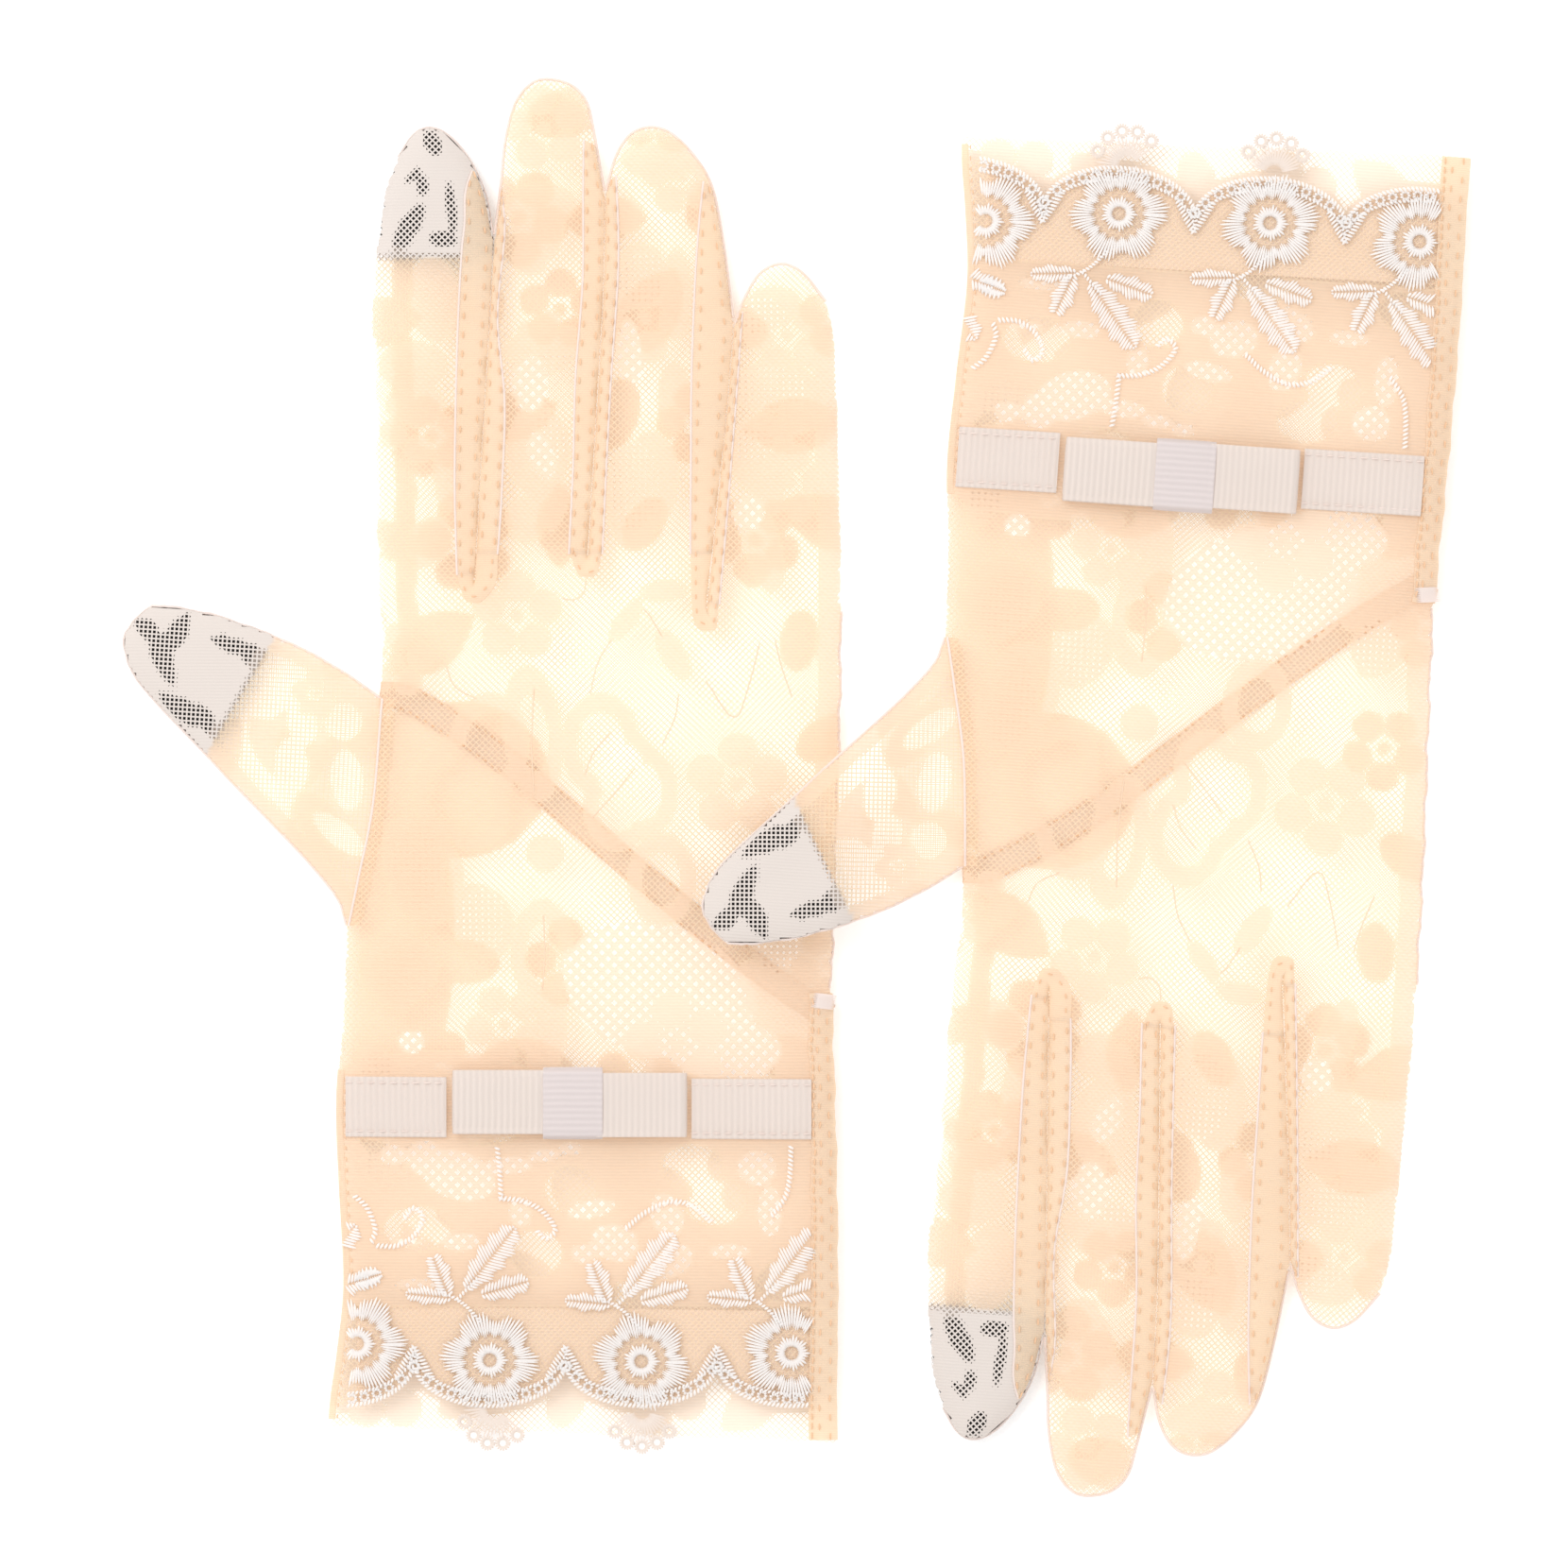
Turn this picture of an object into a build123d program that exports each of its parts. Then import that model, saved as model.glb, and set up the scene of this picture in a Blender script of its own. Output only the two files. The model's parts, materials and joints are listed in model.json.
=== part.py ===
"""A pair of lace gloves lying flat, palm down: right glove fingers up, left glove the other way round.

Each glove is built in its own frame and then placed. In that frame the middle of the open cuff is
the origin, +Y runs to the fingertips, the thumb is on the -X side and +Z is the back of the hand.
"""
from build123d import *
import os

# ---- driving dimensions, mm ----
HEIGHT = 7.0            # a glove's height as it lies flat
CLOTH = 0.5             # wall of the lace
EDGE_R = 2.2            # roundness of the glove's edges
MIDDLE = HEIGHT / 2     # the fold or seam line round the side of the hand
FINGER_GAP = 0.3        # from each finger to the line between two fingers
JOINT_GAP = 0.35        # between a finger's root and the hand
INDEX_CLEAR = 0.9       # the hand stops this far short of the index finger's side, so the finger folds
TRIM = 0.5              # ribbon, binding and trim thickness
FAR = 400.0             # larger than a glove, for cutting tools

CUFF_TOP = 50.5         # where the cuff lace meets the hand lace, under the ribbon
SIDE_SEAM_TOP = 76.0    # upper end of the seam on the little finger's side
RIBBON_Y = (51.2, 61.4)
RIBBON_THUMB_X = (-37.6, -21.8)
RIBBON_LITTLE_X = (18.9, 38.6)
BOW_X, BOW_Y, BOW_TALL = (-20.6, 18.4), (50.8, 62.0), 2.6
WRAP_X = (-5.7, 4.2)
BORDER_X = (-37.8, 38.6)
BORDER_TOP = 22.0
SCALLOP_CENTRES = [(-37.1, 17.3), (-14.7, 13.8), (10.9, 13.6), (36.3, 15.0)]
SCALLOP_SIZE = (12.4, 7.8)
PICOT_SIZE = (5.6, 6.4)
PICOT_CENTRES = [(-13.8, 3.8), (11.0, 3.5)]
HEM_X, HEM_Y = (-37.5, 41.0), (8.0, 22.5)
BINDING_WIDE = 4.4
THUMB_SIDE_BINDING_WIDE = 1.6
PALM_SEAM = [(-60, 144.5), (60, 64.0)]     # the seam across the palm, run on past both sides of the hand
PALM_SEAM_WIDE = 4.5

# ---- the pair's layout: where each cuff's middle stands, and how the left glove lies ----
RIGHT_AT = (-37.72, -110.57)
LEFT_AT = (69.52, 109.73)
LEFT_TURN = -4.0        # degrees, after the glove is mirrored

# ---- outlines, mm, in a glove's own frame ----
HAND_THUMB_EDGE = [(-41.2, -20), (-41.2, 4), (-39.6, 32), (-40.6, 60), (-38.7, 86.5), (-33.3, 126.5), (-33.6, 170)]
HAND_LITTLE_EDGE = [(43.7, -20), (43.5, 45), (42.9, 72), (44.1, 110), (44.3, 170)]
THUMB_ROOT = [(-38.7, 86.5), (-33.3, 126.5)]
THUMB_LOWER_EDGE = [(-49.0, 101.2), (-58.4, 111.0), (-67.2, 120.6), (-74.4, 129.8)]
THUMB_TIP = (-76.4, 136.6)
THUMB_UPPER_EDGE = [(-70.6, 141.3), (-62.2, 139.7), (-48.8, 134.9)]
THUMB_LIFT = HEIGHT + 0.6     # the left thumb lies on the right glove
THUMB_RISE = 17.5             # over this distance from its root

# Each finger: left and right edge at the root and at the shoulder, the tip, and where its root is.
FINGERS = {
    "index": dict(root=146.5, left=((-33.8, 146), (-34.0, 203)), right=((-17.3, 146), (-13.8, 203)),
                  tip=(-24.6, 222.0), fourchettes=("right",)),
    "middle": dict(root=150.0, left=((-17.3, 146), (-13.4, 208)), right=((1.9, 146), (4.9, 208)),
                   tip=(-4.3, 230.4), fourchettes=("left", "right")),
    "ring": dict(root=150.0, left=((1.9, 146), (5.1, 205)), right=((22.2, 146), (25.8, 196)),
                 tip=(13.0, 222.2), fourchettes=("left", "right")),
    "little": dict(root=141.5, left=((22.0, 139), (26.8, 187)), right=((44.3, 139), (43.9, 180)),
                   tip=(34.8, 199.0), fourchettes=("left",)),
}
FOURCHETTE_Z = (1.5, 5.5)
FOURCHETTE_SHORT = 8.0        # how far below the tip a fourchette ends
INDEX_LINING_Y = 201.0
THUMB_LINING_X = -57.0
LINING = 0.3
LINING_GAP = 0.1


def slab(face_low, face_high, x=(-FAR, FAR), y=(-FAR, FAR)):
    """A box between two heights, for cutting."""
    return Pos((x[0] + x[1]) / 2, (y[0] + y[1]) / 2, (face_low + face_high) / 2) * Box(
        x[1] - x[0], y[1] - y[0], face_high - face_low)


def pillow(outline, low, high, radius, is_side):
    """A flat body with this outline whose side edges are rounded."""
    body = extrude(Pos(0, 0, low) * outline, high - low)
    edges = [e for e in body.edges()
             if abs((e @ 0).Z - (e @ 1).Z) < 1e-6 and is_side(e)]
    return fillet(edges, radius)


# ---- the hand and cuff ----
def hand_outline(inset):
    thumb_side = Spline(*[(x + inset, y) for x, y in HAND_THUMB_EDGE])
    little_side = Spline(*[(x - inset, y) for x, y in HAND_LITTLE_EDGE])
    bottom = Line(thumb_side @ 0, little_side @ 0)
    top = Line(thumb_side @ 1, little_side @ 1)
    return make_face([bottom, little_side, top, thumb_side])


def hand_pillow(inset):
    return pillow(hand_outline(inset), inset, HEIGHT - inset, EDGE_R - inset,
                  lambda e: abs((e @ 0).Y - (e @ 1).Y) > 50)


def hand_reach():
    """Everything on the hand's side of the finger roots and of the cuff's mouth."""
    reach = None
    for name, finger in FINGERS.items():
        low, high = finger["left"][0][0], finger["right"][0][0]
        if name == "index":
            low, high = -FAR, high + INDEX_CLEAR
        if name == "middle":
            low += INDEX_CLEAR
        if name == "little":
            high = FAR
        piece = slab(-1, FAR, x=(low, high), y=(0, finger["root"] - JOINT_GAP))
        reach = piece if reach is None else reach + piece
    return reach


def thumb_side_of(x_shift):
    """Everything outside the thumb's root line, moved by x_shift."""
    (xa, ya), (xb, yb) = THUMB_ROOT
    lean = (xb - xa) / (yb - ya)
    low, high = ya - FAR, yb + FAR
    edge = [(xa + x_shift - lean * FAR, low), (xb + x_shift + lean * FAR, high)]
    return extrude(make_face(Polyline(*edge, (-FAR, high), (-FAR, low), close=True)), FAR, both=True)


def thumb_hole():
    """The side wall's opening, where the thumb leaves the hand."""
    (xa, ya), (xb, yb) = THUMB_ROOT
    return extrude(Pos(0, 0, CLOTH) * make_face(Polyline(
        (xa - 3, ya + 2), (xa + 3, ya + 2), (xb + 3, yb - 2), (xb - 3, yb - 2), close=True)), HEIGHT - 2 * CLOTH)


def below_seam(shift):
    """Everything on the heel's side of the seam across the palm, moved by shift."""
    (xa, ya), (xb, yb) = PALM_SEAM
    return extrude(make_face(Polyline((xa, -FAR), (xb, -FAR), (xb, yb + shift), (xa, ya + shift), close=True)),
                   FAR, both=True)


def hand_parts():
    shell = (hand_pillow(0) - hand_pillow(CLOTH)) & hand_reach()
    shell -= thumb_hole()
    back_half = shell & slab(MIDDLE, FAR)
    palm_half = shell & slab(-1, MIDDLE)
    above_cuff = slab(-1, FAR, y=(CUFF_TOP, FAR))
    palm = palm_half & above_cuff
    seam = PALM_SEAM_WIDE / 2
    inside = hand_pillow(CLOTH) & hand_reach()
    tape = inside & slab(0, CLOTH + TRIM) & (below_seam(seam) - below_seam(-seam))
    return {
        "back_panel": back_half & above_cuff,
        "palm_panel": palm - below_seam(0),
        "heel_panel": palm & below_seam(0),
        "palm_seam_tape": tape,
        "cuff_back": back_half - above_cuff,
        "cuff_palm": palm_half - above_cuff,
    }


def side_binding(y, wide, little_side):
    """A strip of binding over the rounded edge, from the back of the hand down to the middle."""
    around = pillow(hand_outline(-TRIM), -TRIM, HEIGHT + TRIM, EDGE_R + TRIM,
                    lambda e: abs((e @ 0).Y - (e @ 1).Y) > 50)
    x = (HAND_LITTLE_EDGE[1][0] - wide, FAR) if little_side else (-FAR, HAND_THUMB_EDGE[2][0] + wide)
    return (around - hand_pillow(0)) & slab(MIDDLE, FAR, x=x, y=y)


def flat_loop(x, low, high, wall):
    """A flattened ribbon loop, seen from its open side: an outline in X and Z."""
    wide, tall = x[1] - x[0], high - low
    centre = ((x[0] + x[1]) / 2, (low + high) / 2)
    outer = Pos(*centre) * SlotOverall(wide, tall)
    return outer - Pos(*centre) * SlotOverall(wide - 2 * wall, tall - 2 * wall)


def border_outline():
    """The embroidered border in plan: scallops round the flowers, and a picot fan under two of them."""
    outline = Pos((BORDER_X[0] + BORDER_X[1]) / 2, (BORDER_TOP + SCALLOP_CENTRES[2][1]) / 2) * Rectangle(
        BORDER_X[1] - BORDER_X[0], BORDER_TOP - SCALLOP_CENTRES[2][1])
    for x, y in SCALLOP_CENTRES:
        outline += Pos(x, y) * Ellipse(*SCALLOP_SIZE)
    for x, y in PICOT_CENTRES:
        outline += Pos(x, y) * Ellipse(*PICOT_SIZE)
    return outline


def trim_parts():
    top = HEIGHT
    strips = {name: slab(top, top + TRIM, x=x, y=RIBBON_Y)
              for name, x in (("ribbon_thumb_side", RIBBON_THUMB_X), ("ribbon_little_side", RIBBON_LITTLE_X))}
    loop_low = top + TRIM
    loop_high = loop_low + BOW_TALL
    middle = (BOW_X[0] + BOW_X[1]) / 2
    loops = None
    for x in ((BOW_X[0], middle), (middle, BOW_X[1])):
        loop = Pos(0, BOW_Y[1], 0) * Rot(90, 0, 0) * extrude(
            flat_loop(x, loop_low, loop_high, TRIM), BOW_Y[1] - BOW_Y[0])
        loops = loop if loops is None else loops + loop
    wrap_low, wrap_high = top, loop_high + TRIM
    wrap_y = (BOW_Y[0] - TRIM, BOW_Y[1] + TRIM)
    around = slab(wrap_low, wrap_high, x=WRAP_X, y=wrap_y)
    wrap = around - slab(loop_low, loop_high, x=(-FAR, FAR), y=BOW_Y)
    border = extrude(Pos(0, 0, top) * border_outline(), TRIM) & slab(
        top, top + TRIM, x=BORDER_X, y=(-FAR, BORDER_TOP))
    hem = slab(top - CLOTH - TRIM, top - CLOTH, x=HEM_X, y=HEM_Y)
    return {
        **strips,
        "bow_loops": loops,
        "bow_wrap": wrap,
        "cuff_border": border,
        "cuff_hem_band": hem,
        "side_binding": side_binding((0, SIDE_SEAM_TOP), BINDING_WIDE, True),
        "thumb_side_binding": side_binding((0, RIBBON_Y[1]), THUMB_SIDE_BINDING_WIDE, False),
    }


# ---- fingers ----
def finger_outline(finger, inset):
    side = inset + FINGER_GAP
    (xa, ya), (xb, yb) = finger["left"]
    (xc, yc), (xd, yd) = finger["right"]
    low = finger["root"] - 10
    tip = (finger["tip"][0], finger["tip"][1] - inset)
    left = Line((xa + side, low), (xb + side, yb))
    right = Line((xd - side, yd), (xc - side, low))
    top = Spline(left @ 1, tip, right @ 0, tangents=[left % 1, (1, 0), right % 0],
                 tangent_scalars=[1.3, 1.0, 1.3])
    return make_face([left, top, right, Line(right @ 1, left @ 0)])


def finger_pillow(finger, inset):
    return pillow(finger_outline(finger, inset), inset, HEIGHT - inset, EDGE_R - inset,
                  lambda e: (e @ 0.5).Y > finger["root"] - 9)


def finger_parts(name, finger):
    beyond_root = slab(-1, FAR, y=(finger["root"], FAR))
    shell = (finger_pillow(finger, 0) - finger_pillow(finger, CLOTH)) & beyond_root
    middle_x = finger["tip"][0]
    ends = (finger["root"] - 20, finger["tip"][1] - FOURCHETTE_SHORT)
    sides = {"left": (-FAR, middle_x), "right": (middle_x, FAR)}
    strips = [slab(*FOURCHETTE_Z, x=sides[side], y=ends) for side in finger["fourchettes"]]
    rest = shell
    for strip in strips:
        rest -= strip
    parts = {
        f"{name}_back": rest & slab(MIDDLE, FAR),
        f"{name}_palm": rest & slab(-1, MIDDLE),
        f"{name}_fourchette": Compound([s for strip in strips for s in (shell & strip).solids()]),
    }
    if name == "index":
        outside, inside = CLOTH + LINING_GAP, CLOTH + LINING_GAP + LINING
        lining = finger_pillow(finger, outside) - finger_pillow(finger, inside)
        parts["index_touch_lining"] = lining & slab(-1, FAR, y=(INDEX_LINING_Y, FAR))
    return parts


# ---- the thumb ----
def thumb_outline(inset):
    """The thumb's plan, running on past its root into the hand, where it's cut off."""
    (xa, ya), (xb, yb) = THUMB_ROOT
    start, end = (xa + 12, ya - 16 + inset), (xb + 12, yb + 0.3 - inset)
    edge = Spline((xa, ya + 1.4 * inset),
                  *[(x + 0.7 * inset, y + 0.7 * inset) for x, y in THUMB_LOWER_EDGE],
                  (THUMB_TIP[0] + inset, THUMB_TIP[1]),
                  *[(x + 0.3 * inset, y - 0.95 * inset) for x, y in THUMB_UPPER_EDGE],
                  (xb, yb - inset))
    return make_face([edge, Line((xb, yb - inset), end), Line(end, start), Line(start, (xa, ya + 1.4 * inset))])


def thumb_profile(lift, low, high):
    """The thumb from the side, in X and Z, between two heights above its underside."""
    root_x, rise_x, tip_x = THUMB_ROOT[0][0] + 8, THUMB_ROOT[0][0] - THUMB_RISE, THUMB_TIP[0] - 5
    start_x = THUMB_ROOT[0][0] + 1

    def line(at):
        if not lift:
            return [Line((root_x, at), (tip_x, at))]
        climb = Spline((start_x, at), (rise_x, at + lift), tangents=[(-1, 0), (-1, 0)])
        return [Line((root_x, at), (start_x, at)), climb, Line((rise_x, at + lift), (tip_x, at + lift))]
    return make_face([*line(low), Line((tip_x, low + lift), (tip_x, high + lift)),
                      *line(high), Line((root_x, low), (root_x, high))])


def thumb_body(lift, inset):
    """The solid of the thumb's outer or inner surface."""
    side = Pos(0, FAR / 2, 0) * Rot(90, 0, 0) * extrude(thumb_profile(lift, inset, HEIGHT - inset), FAR)
    plan = extrude(thumb_outline(inset), FAR, both=True)
    return side & plan


def thumb_parts(lift):
    shell = (thumb_body(lift, 0) - thumb_body(lift, CLOTH)) & thumb_side_of(-JOINT_GAP)
    outside, inside = CLOTH + LINING_GAP, CLOTH + LINING_GAP + LINING
    lining = thumb_body(lift, outside) - thumb_body(lift, inside)
    return {
        "thumb_sleeve": shell,
        "thumb_touch_lining": lining & slab(-FAR, FAR, x=(-FAR, THUMB_LINING_X)),
    }


def glove(lift):
    parts = {**hand_parts(), **trim_parts(), **thumb_parts(lift)}
    for name, finger in FINGERS.items():
        parts.update(finger_parts(name, finger))
    return parts


def place_right(part):
    return Pos(*RIGHT_AT, 0) * part


def place_left(part):
    return Pos(*LEFT_AT, 0) * Rot(0, 0, LEFT_TURN) * mirror(part, about=Plane.XZ)


os.makedirs("parts", exist_ok=True)
box_low, box_high = [FAR] * 3, [-FAR] * 3
for hand, place, lift in (("right", place_right, 0), ("left", place_left, THUMB_LIFT)):
    for name, part in glove(lift).items():
        solids = [s for s in place(part).solids() if s.volume > 0.05]
        placed = Compound(solids) if len(solids) > 1 else solids[0]
        export_step(placed, f"parts/{hand}_{name}.step")
        box = placed.bounding_box()
        box_low = [min(a, b) for a, b in zip(box_low, box.min)]
        box_high = [max(a, b) for a, b in zip(box_high, box.max)]
        print(hand, name, len(solids), round(sum(s.volume for s in solids)))
print("middle of the pair", [round((a + b) / 2, 3) for a, b in zip(box_low, box_high)])
print("size of the pair", [round(b - a, 2) for a, b in zip(box_low, box_high)])
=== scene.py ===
"""A pair of lace gloves lying palm down on a white table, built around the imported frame.

Each glove is drawn in its own frame, in millimetres, as the model is: the origin is at the open cuff,
+Y runs to the fingertips, the thumb is on the -X side and +Z is the back of the hand.
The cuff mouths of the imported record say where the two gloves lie.
"""
import json
import math

import bpy
import numpy as np
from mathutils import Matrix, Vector


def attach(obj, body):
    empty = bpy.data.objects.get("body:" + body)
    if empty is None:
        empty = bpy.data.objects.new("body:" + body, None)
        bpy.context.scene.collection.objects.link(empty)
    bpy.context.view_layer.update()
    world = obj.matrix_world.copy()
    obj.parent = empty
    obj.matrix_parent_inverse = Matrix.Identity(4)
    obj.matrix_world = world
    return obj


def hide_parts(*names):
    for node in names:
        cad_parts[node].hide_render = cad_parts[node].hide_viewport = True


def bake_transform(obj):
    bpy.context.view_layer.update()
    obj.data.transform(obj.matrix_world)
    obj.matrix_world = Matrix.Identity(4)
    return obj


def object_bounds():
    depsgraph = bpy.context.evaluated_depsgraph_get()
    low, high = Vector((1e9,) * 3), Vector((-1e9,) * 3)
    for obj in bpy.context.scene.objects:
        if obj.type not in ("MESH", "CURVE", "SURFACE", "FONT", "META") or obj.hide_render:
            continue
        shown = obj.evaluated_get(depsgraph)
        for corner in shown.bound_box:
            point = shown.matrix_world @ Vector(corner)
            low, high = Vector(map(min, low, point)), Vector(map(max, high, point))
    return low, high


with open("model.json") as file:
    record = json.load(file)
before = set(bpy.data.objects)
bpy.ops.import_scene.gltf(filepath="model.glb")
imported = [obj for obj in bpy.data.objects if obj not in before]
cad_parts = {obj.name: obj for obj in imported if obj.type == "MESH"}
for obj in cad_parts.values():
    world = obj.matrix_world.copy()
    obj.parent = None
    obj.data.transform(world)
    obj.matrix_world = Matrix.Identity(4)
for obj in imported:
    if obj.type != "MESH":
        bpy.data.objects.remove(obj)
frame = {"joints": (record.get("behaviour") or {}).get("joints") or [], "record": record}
cad_box = [list(corner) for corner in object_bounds()]

MM = 0.001
FINGERS = ("index", "middle", "ring", "little")

# ---- heights of the cloth as it lies, mm ----
BACK_Z = 5.0            # back of the hand
FOLD_Z = 2.6            # fold or seam round the side of the hand
SLIT_Z = 3.7            # seams between two fingers that touch
PALM_Z = 0.3            # palm, on the table
THUMB_Z = 4.2           # the thumb's upper side, under the edge of the hand
MOUTH_Z = 3.3           # back of the cuff at its open edge
BACK_ROUND, PALM_ROUND = 7.0, 3.0       # how far in from the side each layer reaches its full height
FOLD_DIP, FOLD_DIP_WIDE = 0.9, 4.0      # the dip of the back beside the thumb's fold
SLIT_WIDE = 5.0         # this far from a slit the edge's height is back at FOLD_Z
CUFF_SLOPE = 34.0       # from this y down to 0 the back comes down to MOUTH_Z
WRINKLE, THUMB_WRINKLE = 0.5, 0.4       # height of the soft waves
THUMB_ABOVE_PALM = 0.25                 # between the hand's palm layer and the thumb's
THUMB_START, THUMB_CLIMB, THUMB_LIFT = -38.0, 18.5, 7.9     # the left thumb lies on the right glove
FOLD_FROM, FOLD_TO = 0.9, 15.0          # two distances out from a finger's hinge, which fold_zone turns into points

# ---- net ----
CELL = 0.53             # half a diamond of the net
NET_HOLE = 0.76         # hole's share of a diamond
DENSE_HOLE = 0.0        # the diamonds between the wide holes
COARSE_HOLE = 0.95      # the wide holes themselves
LINED_HOLE = 0.64       # over the dark linings
AIRY_HOLE = 0.93        # the under layer's net below the wide-holed ground
COARSE_EVERY = 2        # one diamond in this many, each way, is a wide hole
SMALLEST_HOLE = 0.12    # holes with a smaller share than this are left shut
MOTIF_SOFT = 0.22       # half the width of the step from open net to closed work, mm
ROW_SHUT = 0.3          # how far the open rows of a knitted patch are shut
KEY = 4096              # a number larger than the lattice is wide, which joins two indices into one

# ---- trim, mm ----
CUFF_TOP = 50.5         # seam between the cuff and the hand, under the ribbon
HAND_TOP = 140.0        # panels that end above this y run up to the finger roots
RIBBON_Y = (51.2, 61.4)                 # the ribbon's lower and upper edge
BOW_X, BOW_Y, BOW_RISE = (-20.7, 18.4), (51.7, 62.8), 1.5
WRAP_X = (-5.65, 4.4)
RIB = 1.05              # from one rib of the grosgrain to the next
RIBBON_SLOPE = 0.006    # how much lower it lies for each mm towards the little finger
SIDE_SEAM_TOP, SIDE_SEAM_WIDE = 76.0, 4.6
SLIT_GAP = 0.12         # between a finger's side strip and the slit
STRIP_LAP = 0.6         # how far the strip round a crotch runs up over the fingers' strips
SCALLOP_X, SCALLOP_PITCH, SCALLOP_Y = 10.88, 25.6, 13.6
SCALLOP_HALF, SCALLOP_DEEP = 12.8, 7.6
HEM_TOP = 23.0          # the straight upper edge of the doubled net
TOUCH_INDEX_Y = 201.0   # the lined tips end here
TOUCH_THUMB_X = -51.8
TIP_EDGE_X = -13.5      # the index finger's tip lies on the thumb's side of this x
FAR_OUT = -99.0         # stands for "well outside any shape"
LINED_TINT = "#dad0c9"  # the lace over the dark linings
MOUTH_X = 1.5           # the middle of the cuff's mouth in the glove's frame
THUMB_UNDER = 2.5       # how far the thumb runs in under the edge of the hand
PANEL_SPARE = 5         # a panel's net runs on this far past its seams before it's cut
HAND_END, CUFF_END = 152, -6            # y beyond the finger roots and beyond the open cuff
STRIP_ACROSS = 7        # points across a strip
LINING_STEP = 0.9       # between the rows of points in a lining
STITCH_SIDES, CORD_SIDES = 4, 6         # sides of a stitch and of a cord

# ---- grid that distances are read from, mm ----
GRID_X, GRID_Y, GRID_STEP = (-82, 50), (-12, 236), 0.75

# ---- light and camera, metres ----
TABLE_HALF = 4.0
TABLE_GLOW = 0.2
SKY = 0.85
# Each lamp's name, place, power in watts and size.
LAMPS = (("key", (-0.7, 0.6, 1.1), 9.0, 0.9), ("fill", (0.9, -0.5, 1.0), 3.0, 1.2))
CAMERA_HIGH = 1.8
FRAME_WIDE = 0.2656     # what the picture spans at the table
CAMERA_SHIFT = (-0.0027, 0.0006)
SENSOR_MM = 36.0


# ================================================================ curves and outlines
def curve(points, step=1.0):
    """A smooth line through the points, as an array with a point about every step mm."""
    p = np.array(points, float)
    p = np.vstack([2 * p[0] - p[1], p, 2 * p[-1] - p[-2]])
    out = []
    for a, b, c, d in zip(p, p[1:], p[2:], p[3:]):
        n = max(2, int(np.linalg.norm(c - b) / step) + 1)
        t = np.linspace(0, 1, n, endpoint=False)[:, None]
        out.append(0.5 * (2 * b + (c - a) * t + (2 * a - 5 * b + 4 * c - d) * t ** 2
                          + (3 * b - a - 3 * c + d) * t ** 3))
    return np.vstack([*out, p[-2:-1]])


def wavy(line, high=0.22):
    """The line with the small waves of a soft edge, none at its two ends."""
    t = np.linspace(0, math.pi, len(line))[:, None]
    y = line[:, :1] + line[:, 1:]
    shift = np.sin(0.55 * y + 1.0) + 0.7 * np.sin(1.3 * y) + 0.5 * np.sin(2.9 * y + 2.0)
    across = np.gradient(line, axis=0)[:, ::-1] * [1, -1]
    return line + high * np.sin(t) * shift * across / np.hypot(*across.T)[:, None]


THUMB_SIDE = curve([(-42.2, -6), (-41.8, 5.6), (-40.5, 15.2), (-39.4, 27), (-40.2, 44), (-40.6, 58),
                    (-39.5, 72.8), (-39.0, 87.2)])
FOLD = curve([(-39.0, 87.2), (-37.3, 95.2), (-34.8, 108), (-33.2, 125.6)])
INDEX_SIDE = wavy(curve([(-33.2, 125.6), (-32.9, 135), (-33.6, 145), (-33.8, 164), (-33.9, 178.4),
                         (-34.6, 188), (-34.1, 198), (-32.4, 211), (-30.2, 217.2)]))
LITTLE_SIDE = wavy(curve([(43.9, -6), (43.7, 8), (43.9, 27), (43.6, 50), (43.0, 72), (43.2, 87), (44.3, 120),
                          (44.6, 148), (44.3, 164), (43.9, 177), (43.4, 187), (42.1, 192.8)]), 0.16)
TIPS = {
    "index": curve([(-30.2, 217.2), (-27.6, 221.0), (-24.8, 222.2), (-21.4, 220.6), (-18.0, 216.4),
                    (-15.5, 211), (-14.2, 204)]),
    "middle": curve([(-13.9, 204), (-12.8, 213), (-12.1, 220), (-10.4, 226.4), (-7.8, 229.6), (-4.9, 230.4),
                     (-1.0, 229.4), (1.6, 226.6), (2.8, 221.6), (4.6, 211.5)]),
    "ring": curve([(5.0, 211.5), (6.6, 217.4), (9.2, 221.2), (12.6, 222.3), (16.0, 221.2), (20.0, 217.2),
                   (22.9, 212), (24.8, 202.4), (26.4, 190)]),
    "little": curve([(26.8, 189), (28.4, 193.4), (31.0, 197.6), (34.6, 199.2), (38.2, 197.6),
                     (42.1, 192.8)]),
}
CROTCH = {"index": (-17.3, 144.8), "middle": (1.8, 149.1), "ring": (21.9, 140.0)}
SLITS = {
    "index": curve([(-14.0, 204), (-15.0, 185), (-16.4, 162), CROTCH["index"]]),
    "middle": curve([(4.8, 211.5), (4.5, 195), (3.2, 172), CROTCH["middle"]]),
    "ring": curve([(26.6, 189.5), (25.4, 175), (23.6, 157), CROTCH["ring"]]),
}
THUMB_EDGE = wavy(curve([(-33.2, 125.6), (-40, 130.4), (-48.8, 135.2), (-57.6, 138.4), (-64, 140.4),
                         (-70.6, 141.2), (-74.2, 139.6), (-76.4, 136.0), (-75.4, 130.6), (-71.4, 125.4),
                         (-67.2, 120.8), (-58.4, 111.2), (-49, 101.6), (-44.5, 96.8), (-40.4, 91.6),
                         (-39.0, 87.2)]), 0.16)
CUFF_OPEN_Y = (2.2, -0.4)       # the under layer's straight edge, at the thumb's side and at the other


def between(line, low, high):
    """The stretch of a line that runs up +Y, between two heights."""
    return line[(line[:, 1] > low) & (line[:, 1] < high)]


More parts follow.
